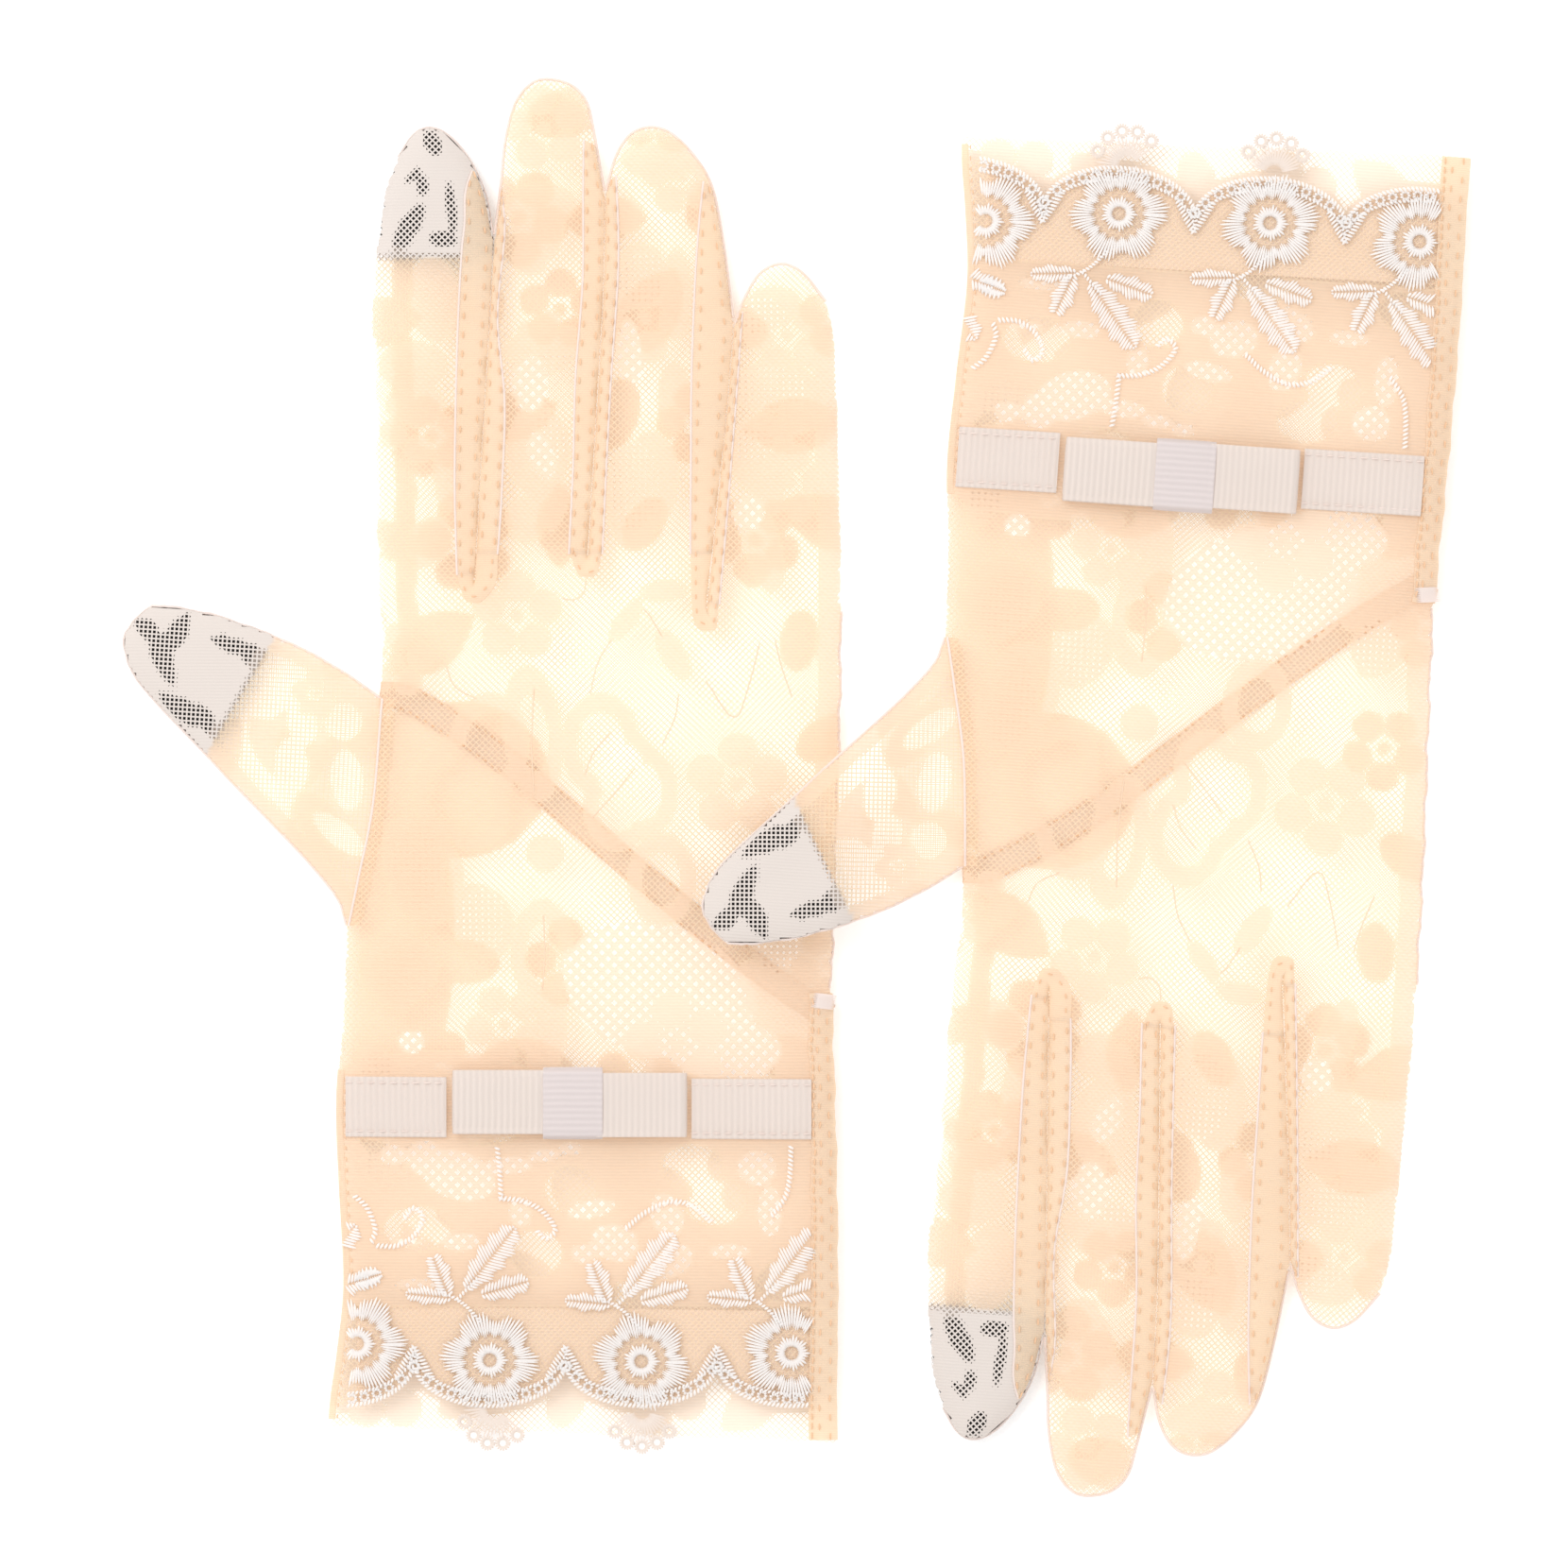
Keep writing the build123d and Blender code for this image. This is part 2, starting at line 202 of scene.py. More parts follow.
def inside(points, ring):
    """Which points lie inside a closed outline."""
    x, y = points[:, 0], points[:, 1]
    result = np.zeros(len(points), bool)
    for (xa, ya), (xb, yb) in zip(ring, np.roll(ring, -1, axis=0)):
        crosses = (ya > y) != (yb > y)
        if ya != yb:
            result ^= crosses & (x < (xb - xa) * (y - ya) / (yb - ya) + xa)
    return result


def nearest(points, lines):
    """The closest point on the lines, and how far it is, for each point."""
    best, where = np.full(len(points), 1e9), np.array(points, float)
    for line in lines:
        for a, b in zip(line, line[1:]):
            d = b - a
            t = np.clip(((points - a) @ d) / max(d @ d, 1e-12), 0, 1)
            foot = a + t[:, None] * d
            far = np.hypot(*(points - foot).T)
            closer = far < best
            best[closer], where[closer] = far[closer], foot[closer]
    return where, best


def grid_field(lines):
    """A function that gives any point's distance to the lines, read off a grid."""
    xs, ys = np.arange(*GRID_X, GRID_STEP), np.arange(*GRID_Y, GRID_STEP)
    gx, gy = np.meshgrid(xs, ys, indexing="ij")
    values = nearest(np.stack([gx.ravel(), gy.ravel()], 1), lines)[1].reshape(gx.shape)

    def read(points):
        u = np.clip((points[:, 0] - GRID_X[0]) / GRID_STEP, 0, len(xs) - 1.001)
        v = np.clip((points[:, 1] - GRID_Y[0]) / GRID_STEP, 0, len(ys) - 1.001)
        i, j = u.astype(int), v.astype(int)
        u, v = u - i, v - j
        return ((values[i, j] * (1 - u) + values[i + 1, j] * u) * (1 - v)
                + (values[i, j + 1] * (1 - u) + values[i + 1, j + 1] * u) * v)
    return read


side_distance = grid_field([THUMB_SIDE, INDEX_SIDE, LITTLE_SIDE, THUMB_EDGE, *TIPS.values(),
                            *SLITS.values()])
fold_distance = grid_field([FOLD])
slit_distance = grid_field(list(SLITS.values()))


def edge_z(p):
    """Height of the fold or seam nearest to each point."""
    return FOLD_Z + (SLIT_Z - FOLD_Z) * (1 - ramp(slit_distance(p) / SLIT_WIDE))


# ================================================================ the two gloves
class Glove:
    """One glove's place in the row frame, and the heights of its cloth."""

    def __init__(self, hand, seed):
        mounts = {m["name"]: m for m in frame["record"]["mounts"]}
        mount = mounts[f"{hand}_cuff_mouth"]
        self.hand, self.mirrored = hand, hand == "left"
        self.up = -np.array(mount["axis"][:2])
        self.across = np.array([self.up[1], -self.up[0]]) * (-1 if self.mirrored else 1)
        self.origin = np.array(mount["pos_m"][:2]) / MM - MOUTH_X * self.across
        self.lift = THUMB_LIFT if self.mirrored else 0.0
        waves = np.random.default_rng(seed)
        self.waves = [(waves.uniform(0, 2 * math.pi), 2 * math.pi / waves.uniform(14, 42),
                       waves.uniform(0, 2 * math.pi)) for _ in range(9)]
        self.roots = {}
        for joint in frame["joints"]:
            if joint["name"].startswith(hand) and joint["type"] == "hinge":
                part = joint["child"].split("_")[1]
                self.roots[part] = self.local(np.array(joint["pos_m"][:2]) / MM)

    def local(self, point):
        """A point of the row frame, in mm, in the glove's frame."""
        rel = point - self.origin
        return np.array([rel @ self.across, rel @ self.up])

    def place(self, points):
        """Points of the glove's frame, in mm, put in the row frame, in metres."""
        p = np.asarray(points, float).reshape(-1, 3)
        flat = self.origin + p[:, :1] * self.across + p[:, 1:2] * self.up
        return np.column_stack([flat, p[:, 2]]) * MM

    def wrinkle(self, p):
        """Soft waves of the cloth, between -1 and 1."""
        height = sum(np.sin((p[:, 0] * math.cos(a) + p[:, 1] * math.sin(a)) * k + phase)
                     for a, k, phase in self.waves)
        return height / len(self.waves)

    def back(self, p, over=0.0):
        """Height of the back layer, plus over."""
        d = side_distance(p)
        rise = swell(d / BACK_ROUND)
        full = BACK_Z - (BACK_Z - MOUTH_Z) * (1 - ramp(p[:, 1] / CUFF_SLOPE))
        dip = FOLD_DIP * (1 - swell(fold_distance(p) / FOLD_DIP_WIDE))
        edge = edge_z(p)
        return edge + (full - edge - dip) * rise + WRINKLE * self.wrinkle(p) * rise + over

    def palm(self, p, over=0.0):
        """Height of the palm layer, plus over."""
        edge = edge_z(p)
        return edge - (edge - PALM_Z) * swell(side_distance(p) / PALM_ROUND) + over

    def climb(self, p):
        """How far the thumb is lifted on its way to the tip."""
        return self.lift * ramp((THUMB_START - p[:, 0]) / THUMB_CLIMB)

    def thumb_back(self, p, over=0.0):
        """Height of the thumb's upper side, plus over."""
        rise = swell(side_distance(p) / BACK_ROUND)
        waves = THUMB_WRINKLE * self.wrinkle(p * 1.7) * rise
        return FOLD_Z + (THUMB_Z - FOLD_Z) * rise + waves + self.climb(p) + over

    def thumb_palm(self, p, over=0.0):
        """Height of the thumb's palm side, plus over."""
        return self.palm(p, over + THUMB_ABOVE_PALM) + self.climb(p)


def ramp(t):
    """A smooth step from 0 to 1."""
    t = np.clip(t, 0, 1)
    return t * t * (3 - 2 * t)


def swell(t):
    """The rise of a quarter circle from 0 to 1."""
    return np.sqrt(1 - (1 - np.clip(t, 0, 1)) ** 2)


# ================================================================ lace pattern
def ellipse(p, x, y, rx, ry, turn=0.0):
    """How far inside an ellipse each point is, mm."""
    c, s = math.cos(turn), math.sin(turn)
    dx, dy = p[:, 0] - x, p[:, 1] - y
    u, v = (dx * c + dy * s) / rx, (-dx * s + dy * c) / ry
    return (1 - np.hypot(u, v)) * min(rx, ry)


def ellipses(p, spots):
    """How far inside any of several ellipses each point is, mm."""
    return np.maximum.reduce([ellipse(p, *spot) for spot in spots])


def band(shape, width):
    """The outline of a shape, as a band that runs inwards from its edge."""
    return np.minimum(shape, width - shape)


def flower(p, x, y, r, turn, petals=5):
    """How far inside a flower each point is: oval petals round an open ring with a dot in it."""
    shape = np.full(len(p), FAR_OUT)
    for k in range(petals):
        a = turn + 2 * math.pi * k / petals
        shape = np.maximum(shape, ellipse(p, x + 0.67 * r * math.cos(a), y + 0.67 * r * math.sin(a),
                                          0.35 * r, 0.375 * r, a))
    shape = np.minimum(shape, -ellipse(p, x, y, 0.36 * r, 0.36 * r))
    return np.maximum(shape, ellipse(p, x, y, 0.13 * r, 0.13 * r))


def leaf(p, x, y, half_wide, half_long, turn):
    """A pointed leaf that stands along +Y before it's turned."""
    c, s = math.cos(turn), math.sin(turn)
    dx, dy = p[:, 0] - x, p[:, 1] - y
    u, v = (dx * c + dy * s) / half_wide, (-dx * s + dy * c) / half_long
    return (1 - v * v - np.abs(u)) * half_wide * 0.8


def butterfly(p, x, y, side):
    """A body and the four looped wings on each side of it."""
    def at(dx, dy, rx, ry, turn=0.0):
        return ellipse(p, x + side * dx, y + dy, rx, ry, side * turn)
    big = np.maximum.reduce([at(9.4, 18.4, 6.4, 8.6), at(12.8, 13.9, 6.4, 7.6), at(16.0, 10.4, 6.2, 8.0),
                             at(12.2, 7.6, 5.6, 7.0)])
    low = at(19.65, -4.4, 5.6, 7.7)
    return np.maximum.reduce([ellipse(p, x, y, 3.0, 3.0), band(big, 2.2), band(low, 2.1)])


BACK_FLOWERS = ((-10.1, 139.6, 7.4, 0.3), (27.1, 111.0, 8.4, 0.3), (-27, 172, 6.5, 1.0),
                (-5.5, 222, 7.0, 0.5), (-5, 186, 5.0, 0.2), (17.5, 214, 6.5, 0.5),
                (11.5, 190, 7.5, 1.1), (35.5, 187, 7.0, 0.6), (36, 162, 6.5, 0.1), (-30.5, 132, 6.2, 0.2),
                (-12.0, 70.5, 6.6, 0.8))
# Centre, half-widths and turn. Every other one is a pointed leaf, the rest are ovals.
BACK_LEAVES = ((14.6, 143.8, 3.8, 1.7, 0.1), (8.4, 139.0, 4.3, 1.7, 0.95), (16.3, 133.0, 4.7, 1.9, -1.05),
               (-5, 160, 3.6, 6.4, 0.1), (12.2, 162, 4.8, 8.6, -0.12), (-6.5, 206, 4.4, 6.5, 0.3),
               (31.5, 151, 3.0, 7.6, 0.25), (38, 175, 4.0, 5.5, -0.4), (-24, 193, 4.2, 7.2, 0.1),
               (-25, 152, 3.5, 5.0, -0.5), (-27.5, 97, 5.0, 9.0, 0.2), (-30, 80, 6.5, 7.5, 0.0),
               (-16, 88, 5.0, 6.5, 0.6), (-34, 61, 3.6, 8.0, 0.2), (-5.0, 68, 3.0, 8.0, -0.2),
               (34, 84, 4.5, 5.5, 0.4), (-7.9, 199.9, 2.8, 2.8, 0.0), (-4.5, 206.6, 2.4, 2.4, 0.0),
               (-6.4, 184.8, 6.0, 3.2, 0.1), (-6.8, 168.0, 4.6, 7.0, 0.1))
BACK_PATCHES = ((-27.6, 181.6, 5.6, 4.2, 0.0), (-27.0, 175.0, 4.6, 3.4, 0.0), (-21.8, 165, 2.2, 8.0, 0.0),
                (-6.2, 209, 5.8, 3.6, 0.0), (-5.6, 184.4, 5.8, 3.8, 0.0),
                (-6.6, 167.4, 5.2, 7.6, 0.0), (-8.6, 155.8, 3.2, 3.8, 0.2), (13.6, 216.2, 6.0, 3.0, -0.1),
                (11.0, 197.0, 4.2, 5.4, 0.0), (17.0, 194, 2.2, 7.6, 0.0), (9.6, 159.6, 4.6, 9.0, 0.0),
                (16.4, 176.4, 2.6, 6.0, 0.0), (8.6, 207.0, 2.6, 3.0, 0.0), (32.4, 191.6, 5.4, 3.4, 0.2),
                (33.0, 178.4, 7.0, 4.2, 0.1), (31.4, 166.6, 5.4, 7.0, 0.0), (31.8, 150.8, 2.2, 5.6, 0.1))

# The index finger's tip is closed over its lining but for these patches of net.
TIP_PATCHES = ((-24.4, 219.5, 1.7, 2.6, 0.4), (-27.7, 214.0, 0.8, 2.1, -0.75), (-26.1, 212.2, 1.3, 2.0, 0.1),
               (-28.4, 205.1, 1.9, 4.9, -0.54), (-21.2, 208.5, 1.1, 4.8, 0.1), (-22.6, 203.2, 2.6, 1.6, 0.0))

# Closed ground of the back layer, and the windows of wide-holed ground in it and above it.
CLOSED = ((40, 70, 9, 15, 0.3), (-24, 58, 20, 8, 0.0))
WINDOWS = ((14, 76, 17, 11, -0.3), (25, 66, 10, 5, 0.0), (-31.1, 48.3, 2.6, 2.0, 0.0),
           (-25.6, 47.8, 3.4, 3.4, 0.2), (-20.2, 44.9, 6.8, 4.4, -0.3), (-11.4, 46.6, 4.2, 1.8, 0.0),
           (-5.6, 48.3, 2.8, 1.4, 0.0), (-19.5, 33.6, 3.4, 1.8, 0.1), (-29, 33.6, 3.0, 1.0, 0.0),
           (-9.6, 38.6, 2.2, 2.8, 0.0), (2.4, 39.2, 4.5, 1.8, 0.2), (6.4, 33.5, 4.4, 3.4, -0.3),
           (1.2, 31.6, 2.6, 2.0, 0.0), (15.2, 38.0, 3.0, 4.2, 0.3), (15.6, 30.4, 4.6, 3.0, 0.4),
           (30.4, 46.1, 3.6, 3.2, 0.0), (32.6, 38.8, 2.4, 4.6, 0.0), (25.8, 32.0, 3.8, 1.6, 0.0),
           (-28, 67.5, 2.4, 2.2, 0.0), (-8, 178.8, 3.0, 5.0, 0.0), (-6.0, 167.0, 2.2, 4.4, 0.3),
           (9, 184.5, 2.2, 5.5, 0.1), (29, 157, 3.0, 3.0, 0.0), (-1.2, 49.4, 2.2, 1.4, 0.0),
           (-27, 26.4, 4.0, 1.4, 0.0))
WINDOW_FLOWERS = ((17.0, 67.0, 8.6, 0.5), (33.6, 77.2, 6.5, 0.2))
# Patches of open net in the cuff, in both layers.
CUFF_LIGHTS = ((-1, 42.5, 4.6, 4.4), (19.5, 46.6, 5.4, 3.8), (-6.8, 31.8, 4.6, 4.2),
               (23.5, 40.5, 5.2, 4.2), (-27, 36, 6.0, 4.0), (34, 27, 4.0, 3.4), (10, 25, 5.0, 2.4),
               (-34, 52, 3.0, 3.4), (-16, 52, 6.0, 2.0))


def cuff_lights(p):
    """How far inside one of those patches each point is, mm."""
    return ellipses(p, CUFF_LIGHTS)


def windows(p):
    """How far inside a window each point is, mm."""
    return ellipses(p, WINDOWS)


def back_motif(p):
    """How far inside the back layer's closed work each point is, mm."""
    shape = np.maximum(butterfly(p, -5.3, 99.4, 1), butterfly(p, -5.3, 99.4, -1))
    cuff = np.minimum.reduce([61.5 - p[:, 1], p[:, 1] - HEM_TOP, -cuff_lights(p)])
    shape = np.maximum.reduce([shape, ellipses(p, CLOSED), cuff])
    shape = np.maximum(shape, band(ellipse(p, -7.4, 119.7, 4.8, 11.4, 0.1), 2.0))
    shape = np.maximum(shape, band(ellipse(p, -5.7, 82.6, 5.2, 9.0), 2.1))
    for spot in BACK_FLOWERS:
        shape = np.maximum(shape, flower(p, *spot))
    for k, spot in enumerate(BACK_LEAVES):
        shape = np.maximum(shape, (leaf if k % 2 else ellipse)(p, *spot))
    shape = np.maximum(shape, ellipses(p, BACK_PATCHES))
    edge = np.interp(p[:, 1], LITTLE_SIDE[:, 1], LITTLE_SIDE[:, 0])
    outer = np.where(p[:, 1] > SIDE_SEAM_TOP, p[:, 0] - (edge - 3.6), FAR_OUT)
    shape = np.maximum(shape, np.minimum(outer, 190 - p[:, 1]))
    shape = np.minimum(shape, -windows(p))
    for spot in WINDOW_FLOWERS:
        shape = np.maximum(shape, flower(p, *spot))
    in_tip = (p[:, 1] > TOUCH_INDEX_Y) & (p[:, 0] < TIP_EDGE_X)
    return np.where(in_tip, -ellipses(p, TIP_PATCHES), shape)


def palm_motif(p):
    """The palm layer's own flowers and leaves, in staggered rows, with an open window in the hand."""
    rng = np.random.default_rng(5)
    shape = np.full(len(p), FAR_OUT)
    for row in range(13):
        for col in range(9):
            x = -78 + 15.2 * col + (7.6 if row % 2 else 0) + rng.uniform(-2, 2)
            y = 8 + 18.2 * row + rng.uniform(-2, 2)
            turn, size = rng.uniform(0, math.pi), rng.uniform(0.85, 1.15)
            if 82 < y < 142 and -12 < x < 36:
                continue
            if (row + col) % 3 == 0:
                shape = np.maximum(shape, flower(p, x, y, 7.4 * size, turn))
            elif (row + col) % 3 == 1:
                shape = np.maximum(shape, leaf(p, x, y, 4.2 * size, 8.0 * size, turn))
            else:
                shape = np.maximum(shape, ellipse(p, x, y, 3.4 * size, 5.6 * size, turn))
    thumb_base = np.maximum(ellipse(p, -20, 112, 15, 13), ellipse(p, -36, 86, 15, 36))
    cuff = np.minimum(59 - p[:, 1], p[:, 1] - scallop(p[:, 0]) + 1.2)
    shape = np.maximum.reduce([shape, thumb_base, np.minimum(cuff, -cuff_lights(p))])
    shape = np.minimum(shape, -windows(p))
    edge = np.interp(p[:, 1], INDEX_SIDE[:, 1], INDEX_SIDE[:, 0])
    hem = 1.5 - np.abs(p[:, 0] - edge - 4.6)
    return np.maximum(shape, np.where((p[:, 1] > 118) & (p[:, 1] < 206), hem, FAR_OUT))


# Centre and half-widths of the patches that are knitted in open rows.
ROWED = ((9.8, 161.6, 4.3, 7.4), (10.9, 196.5, 3.7, 4.6), (-3.4, 171.9, 3.0, 5.5),
         (-3.4, 182.2, 3.2, 2.0), (32.6, 178.2, 6.5, 3.4), (29.8, 168.5, 3.4, 3.0),
         (31.5, 190.2, 3.6, 3.2), (-27.5, 97, 4.4, 8.0), (-30, 80, 5.6, 6.4), (-16, 88, 4.2, 5.4),
         (34, 84, 3.8, 4.6), (-34, 61, 3.0, 6.4), (-31, 47, 4.6, 3.6))


def rowed(p):
    """How far inside one of the open-rowed patches each point is, mm."""
    return ellipses(p, ROWED)


def coarse_ground(p):
    """Where the back's ground is closed but for wide, evenly spaced holes, and the palm's net is open."""
    return windows(p) > 0


def no_coarse(p):
    """No wide-holed ground anywhere."""
    return np.zeros(len(p), bool)


# ================================================================ net
def lattice(x, y, turn, shift):
    """Diamond cells over a rectangle.

    Gives the cells' centres, all corner points, each cell's four corner indices, which cells can be
    wide holes, and which lie in every other row.
    """
    c, s = math.cos(turn), math.sin(turn)
    box = np.array([(a - shift[0], b - shift[1]) for a in x for b in y]) @ np.array([[c, -s], [s, c]]) / CELL
    i_low, j_low = np.floor(box.min(0)).astype(int) - 1
    i_high, j_high = np.ceil(box.max(0)).astype(int) + 2
    i, j = np.meshgrid(np.arange(i_low, i_high), np.arange(j_low, j_high), indexing="ij")

    def where(i, j):
        return np.stack([shift[0] + CELL * (i * c - j * s), shift[1] + CELL * (i * s + j * c)], 1)
    i, j = i.ravel(), j.ravel()
    at = where(i, j)
    in_x = (at[:, 0] > x[0]) & (at[:, 0] < x[1])
    in_y = (at[:, 1] > y[0]) & (at[:, 1] < y[1])
    near = in_x & in_y & ((i + j) % 2 == 0)
    i, j = i[near], j[near]
    key = [(i + 1) * KEY + j, i * KEY + j + 1, (i - 1) * KEY + j, i * KEY + j - 1]
    keys, index = np.unique(np.concatenate(key), return_inverse=True)
    jj = ((keys + KEY // 2) % KEY) - KEY // 2
    ii = (keys - jj) // KEY
    coarse = ((i + j) // 2 % COARSE_EVERY == 0) & ((i - j) // 2 % COARSE_EVERY == 0)
    return at[near], where(ii, jj), index.reshape(4, -1).T, coarse, j % 2 == 0


def open_shares(centres, cells, closed, coarse_where, coarse, rows, row_where, airy):
    """How large a share of each cell its hole takes up, towards each of its corners."""
    open_share = np.full(cells.shape, NET_HOLE)
    in_coarse = coarse_where(centres)
    dots = np.where(coarse, COARSE_HOLE, DENSE_HOLE)
    open_share[in_coarse] = AIRY_HOLE if airy else dots[in_coarse, None]
    open_share[lined(centres) > 0] = LINED_HOLE
    shut = closed[cells]
    if row_where is not None:
        shut[rows & (row_where(centres) > 0)] *= ROW_SHUT
    return open_share * (1 - shut)


def net(keep, edge, motif, coarse_where, turn, shift, row_where, airy):
    """Lace inside an outline: points, faces and how closed the work is at each point."""
    low, high = keep.min(0) - 1, keep.max(0) + 1
    centres, corners, cells, coarse, rows = lattice((low[0], high[0]), (low[1], high[1]), turn, shift)
    kept = inside(centres, keep)
    centres, cells, coarse, rows = centres[kept], cells[kept], coarse[kept], rows[kept]
    used, cells = np.unique(cells, return_inverse=True)
    corners, cells = corners[used], cells.reshape(-1, 4)
    out = ~inside(corners, edge)
    if out.any():
        corners[out] = nearest(corners[out], [np.vstack([edge, edge[:1]])])[0]
    closed = ramp((motif(corners) + MOTIF_SOFT) / (2 * MOTIF_SOFT))
    open_share = open_shares(centres, cells, closed, coarse_where, coarse, rows, row_where, airy)
    middles = corners[cells].mean(1)
    holes = middles[:, None] + open_share[..., None] * (corners[cells] - middles[:, None])
    pierced = open_share.max(1) > SMALLEST_HOLE
    rim = len(corners) + np.arange(pierced.sum() * 4).reshape(-1, 4)
    points = np.vstack([corners, holes[pierced].reshape(-1, 2)])
    outer = cells[pierced]
    around = [quads(outer[:, k], outer[:, (k + 1) % 4], rim[:, (k + 1) % 4], rim[:, k]) for k in range(4)]
    solid = closed.copy()
    if not airy:
        solid[cells[coarse_where(centres)]] = 1.0
    work = np.concatenate([solid, solid[outer].ravel()])
    return points, np.vstack([cells[~pierced], *around]), work


# ================================================================ meshes
def build(name, points, faces, flat, work=None, sheer=None):
    """A mesh object from points, in metres, and quads.

    flat holds each point's place on the cloth, work how closed the lace is there, and sheer is 0 over
    the dark linings.
    """
    mesh = bpy.data.meshes.new(name)
    loops = faces.ravel().astype(np.int32)
    mesh.vertices.add(len(points))
    mesh.vertices.foreach_set("co", np.asarray(points, np.float32).ravel())
    mesh.loops.add(len(loops))
    mesh.loops.foreach_set("vertex_index", loops)
    mesh.polygons.add(len(faces))
    mesh.polygons.foreach_set("loop_start", 4 * np.arange(len(faces), dtype=np.int32))
    mesh.update(calc_edges=True)
    mesh.validate()
    layer = mesh.uv_layers.new(name="cloth")
    index = np.zeros(len(mesh.loops), np.int32)
    mesh.loops.foreach_get("vertex_index", index)
    layer.data.foreach_set("uv", (np.asarray(flat)[index] * MM * 10).astype(np.float32).ravel())
    for kind, values in (("work", work), ("sheer", sheer)):
        if values is not None:
            attribute = mesh.attributes.new(kind, "FLOAT", "POINT")
            attribute.data.foreach_set("value", np.asarray(values, np.float32))
    mesh.shade_smooth()
    mesh.set_sharp_from_angle(angle=math.radians(55))
    piece = bpy.data.objects.new(name, mesh)
    bpy.context.scene.collection.objects.link(piece)
    return piece


def outward(points, faces):
    """The faces, turned over if they face into the body they close."""
    a, b, c = (points[faces[:, k]] for k in range(3))
    d = points[faces[:, 3]]
    volume = (np.einsum("ij,ij->", a, np.cross(b, c)) + np.einsum("ij,ij->", a, np.cross(c, d)))
    return faces if volume > 0 else faces[:, ::-1]


def slab(top, bottom):
    """A closed sheet between two grids of points (rows, columns, xyz): points and quads."""
    rows, cols = top.shape[:2]
    points = np.vstack([top.reshape(-1, 3), bottom.reshape(-1, 3)])
    at = np.arange(rows * cols).reshape(rows, cols)
    under = at + rows * cols
    faces = [quads(at[:-1, :-1], at[1:, :-1], at[1:, 1:], at[:-1, 1:]),
             quads(under[:-1, 1:], under[1:, 1:], under[1:, :-1], under[:-1, :-1])]
    for line, low in ((at[0], under[0]), (at[-1][::-1], under[-1][::-1]), (at[::-1, 0], under[::-1, 0]),
                      (at[:, -1], under[:, -1])):
        faces.append(quads(line[:-1], line[1:], low[1:], low[:-1]))
    return points, np.vstack(faces)


def quads(a, b, c, d):
    """Quads from four arrays of point indices."""
    return np.stack([a.ravel(), b.ravel(), c.ravel(), d.ravel()], 1)


def joined(parts):
    """Several (points, faces) made into one, faces all of one size."""
    points, faces, start = [], [], 0
    for p, f in parts:
        points.append(p)
        faces.append(f + start)
        start += len(p)
    return np.vstack(points), np.vstack(faces)


# A stitch's rings: how far along it, how fat and how high each one is.
STITCH_RINGS = ((0.0, 0.25, 0.0), (0.22, 1.0, 0.75), (0.5, 1.1, 1.0), (0.78, 1.0, 0.75), (1.0, 0.25, 0.0))


def stitches(starts, ends, width, rise):
    """Short plump threads from starts to ends, each a closed spindle that arches up by rise."""
    starts, ends = np.asarray(starts, float), np.asarray(ends, float)
    along = ends - starts
    long = np.linalg.norm(along, axis=1, keepdims=True)
    along = along / np.maximum(long, 1e-9)
    side = np.cross(along, [0, 0, 1.0])
    side /= np.maximum(np.linalg.norm(side, axis=1, keepdims=True), 1e-9)
    up = np.cross(side, along)
    rings = []
    for t, fat, high in STITCH_RINGS:
        middle = starts + along * long * t + np.array([0, 0, 1.0]) * rise * high
        for k in range(STITCH_SIDES):
            a = 2 * math.pi * (k + 0.5) / STITCH_SIDES
            rings.append(middle + fat * width / 2 * (side * math.cos(a) + up * math.sin(a)))
    points = np.stack(rings, 1)
    count, each = points.shape[:2]
    base = (np.arange(count) * each)[:, None]
    faces = []
    for ring in range(len(STITCH_RINGS) - 1):
        for k in range(STITCH_SIDES):
            a, b = ring * STITCH_SIDES + k, ring * STITCH_SIDES + (k + 1) % STITCH_SIDES
            faces.append(base + np.array([[a, b, b + STITCH_SIDES, a + STITCH_SIDES]]))
    last = (len(STITCH_RINGS) - 1) * STITCH_SIDES
    faces.append(base + np.array([[3, 2, 1, 0]]))
    faces.append(base + np.array([[last, last + 1, last + 2, last + 3]]))
    return points.reshape(-1, 3), np.vstack(faces)


def tube(line, radius):
    """A round thread along a line of points."""
    line = np.asarray(line, float)
    along = np.gradient(line, axis=0)
    along /= np.maximum(np.linalg.norm(along, axis=1, keepdims=True), 1e-9)
    side = np.cross(along, [0, 0, 1.0])
    side /= np.maximum(np.linalg.norm(side, axis=1, keepdims=True), 1e-9)
    up = np.cross(side, along)
    angle = 2 * math.pi * np.arange(CORD_SIDES) / CORD_SIDES
    points = line[:, None] + radius * (side[:, None] * np.cos(angle)[None, :, None]
                                       + up[:, None] * np.sin(angle)[None, :, None])
    at = np.arange(len(line) * CORD_SIDES).reshape(len(line), CORD_SIDES)
    nxt = np.roll(at, -1, axis=1)
    faces = quads(at[:-1], nxt[:-1], nxt[1:], at[1:])
    return points.reshape(-1, 3), faces


# ================================================================ materials
def srgb(hexa):
    """A #rrggbb colour as linear RGBA."""
    values = [int(hexa[k:k + 2], 16) / 255 for k in (1, 3, 5)]
    return (*[v / 12.92 if v <= 0.04045 else ((v + 0.055) / 1.055) ** 2.4 for v in values], 1.0)


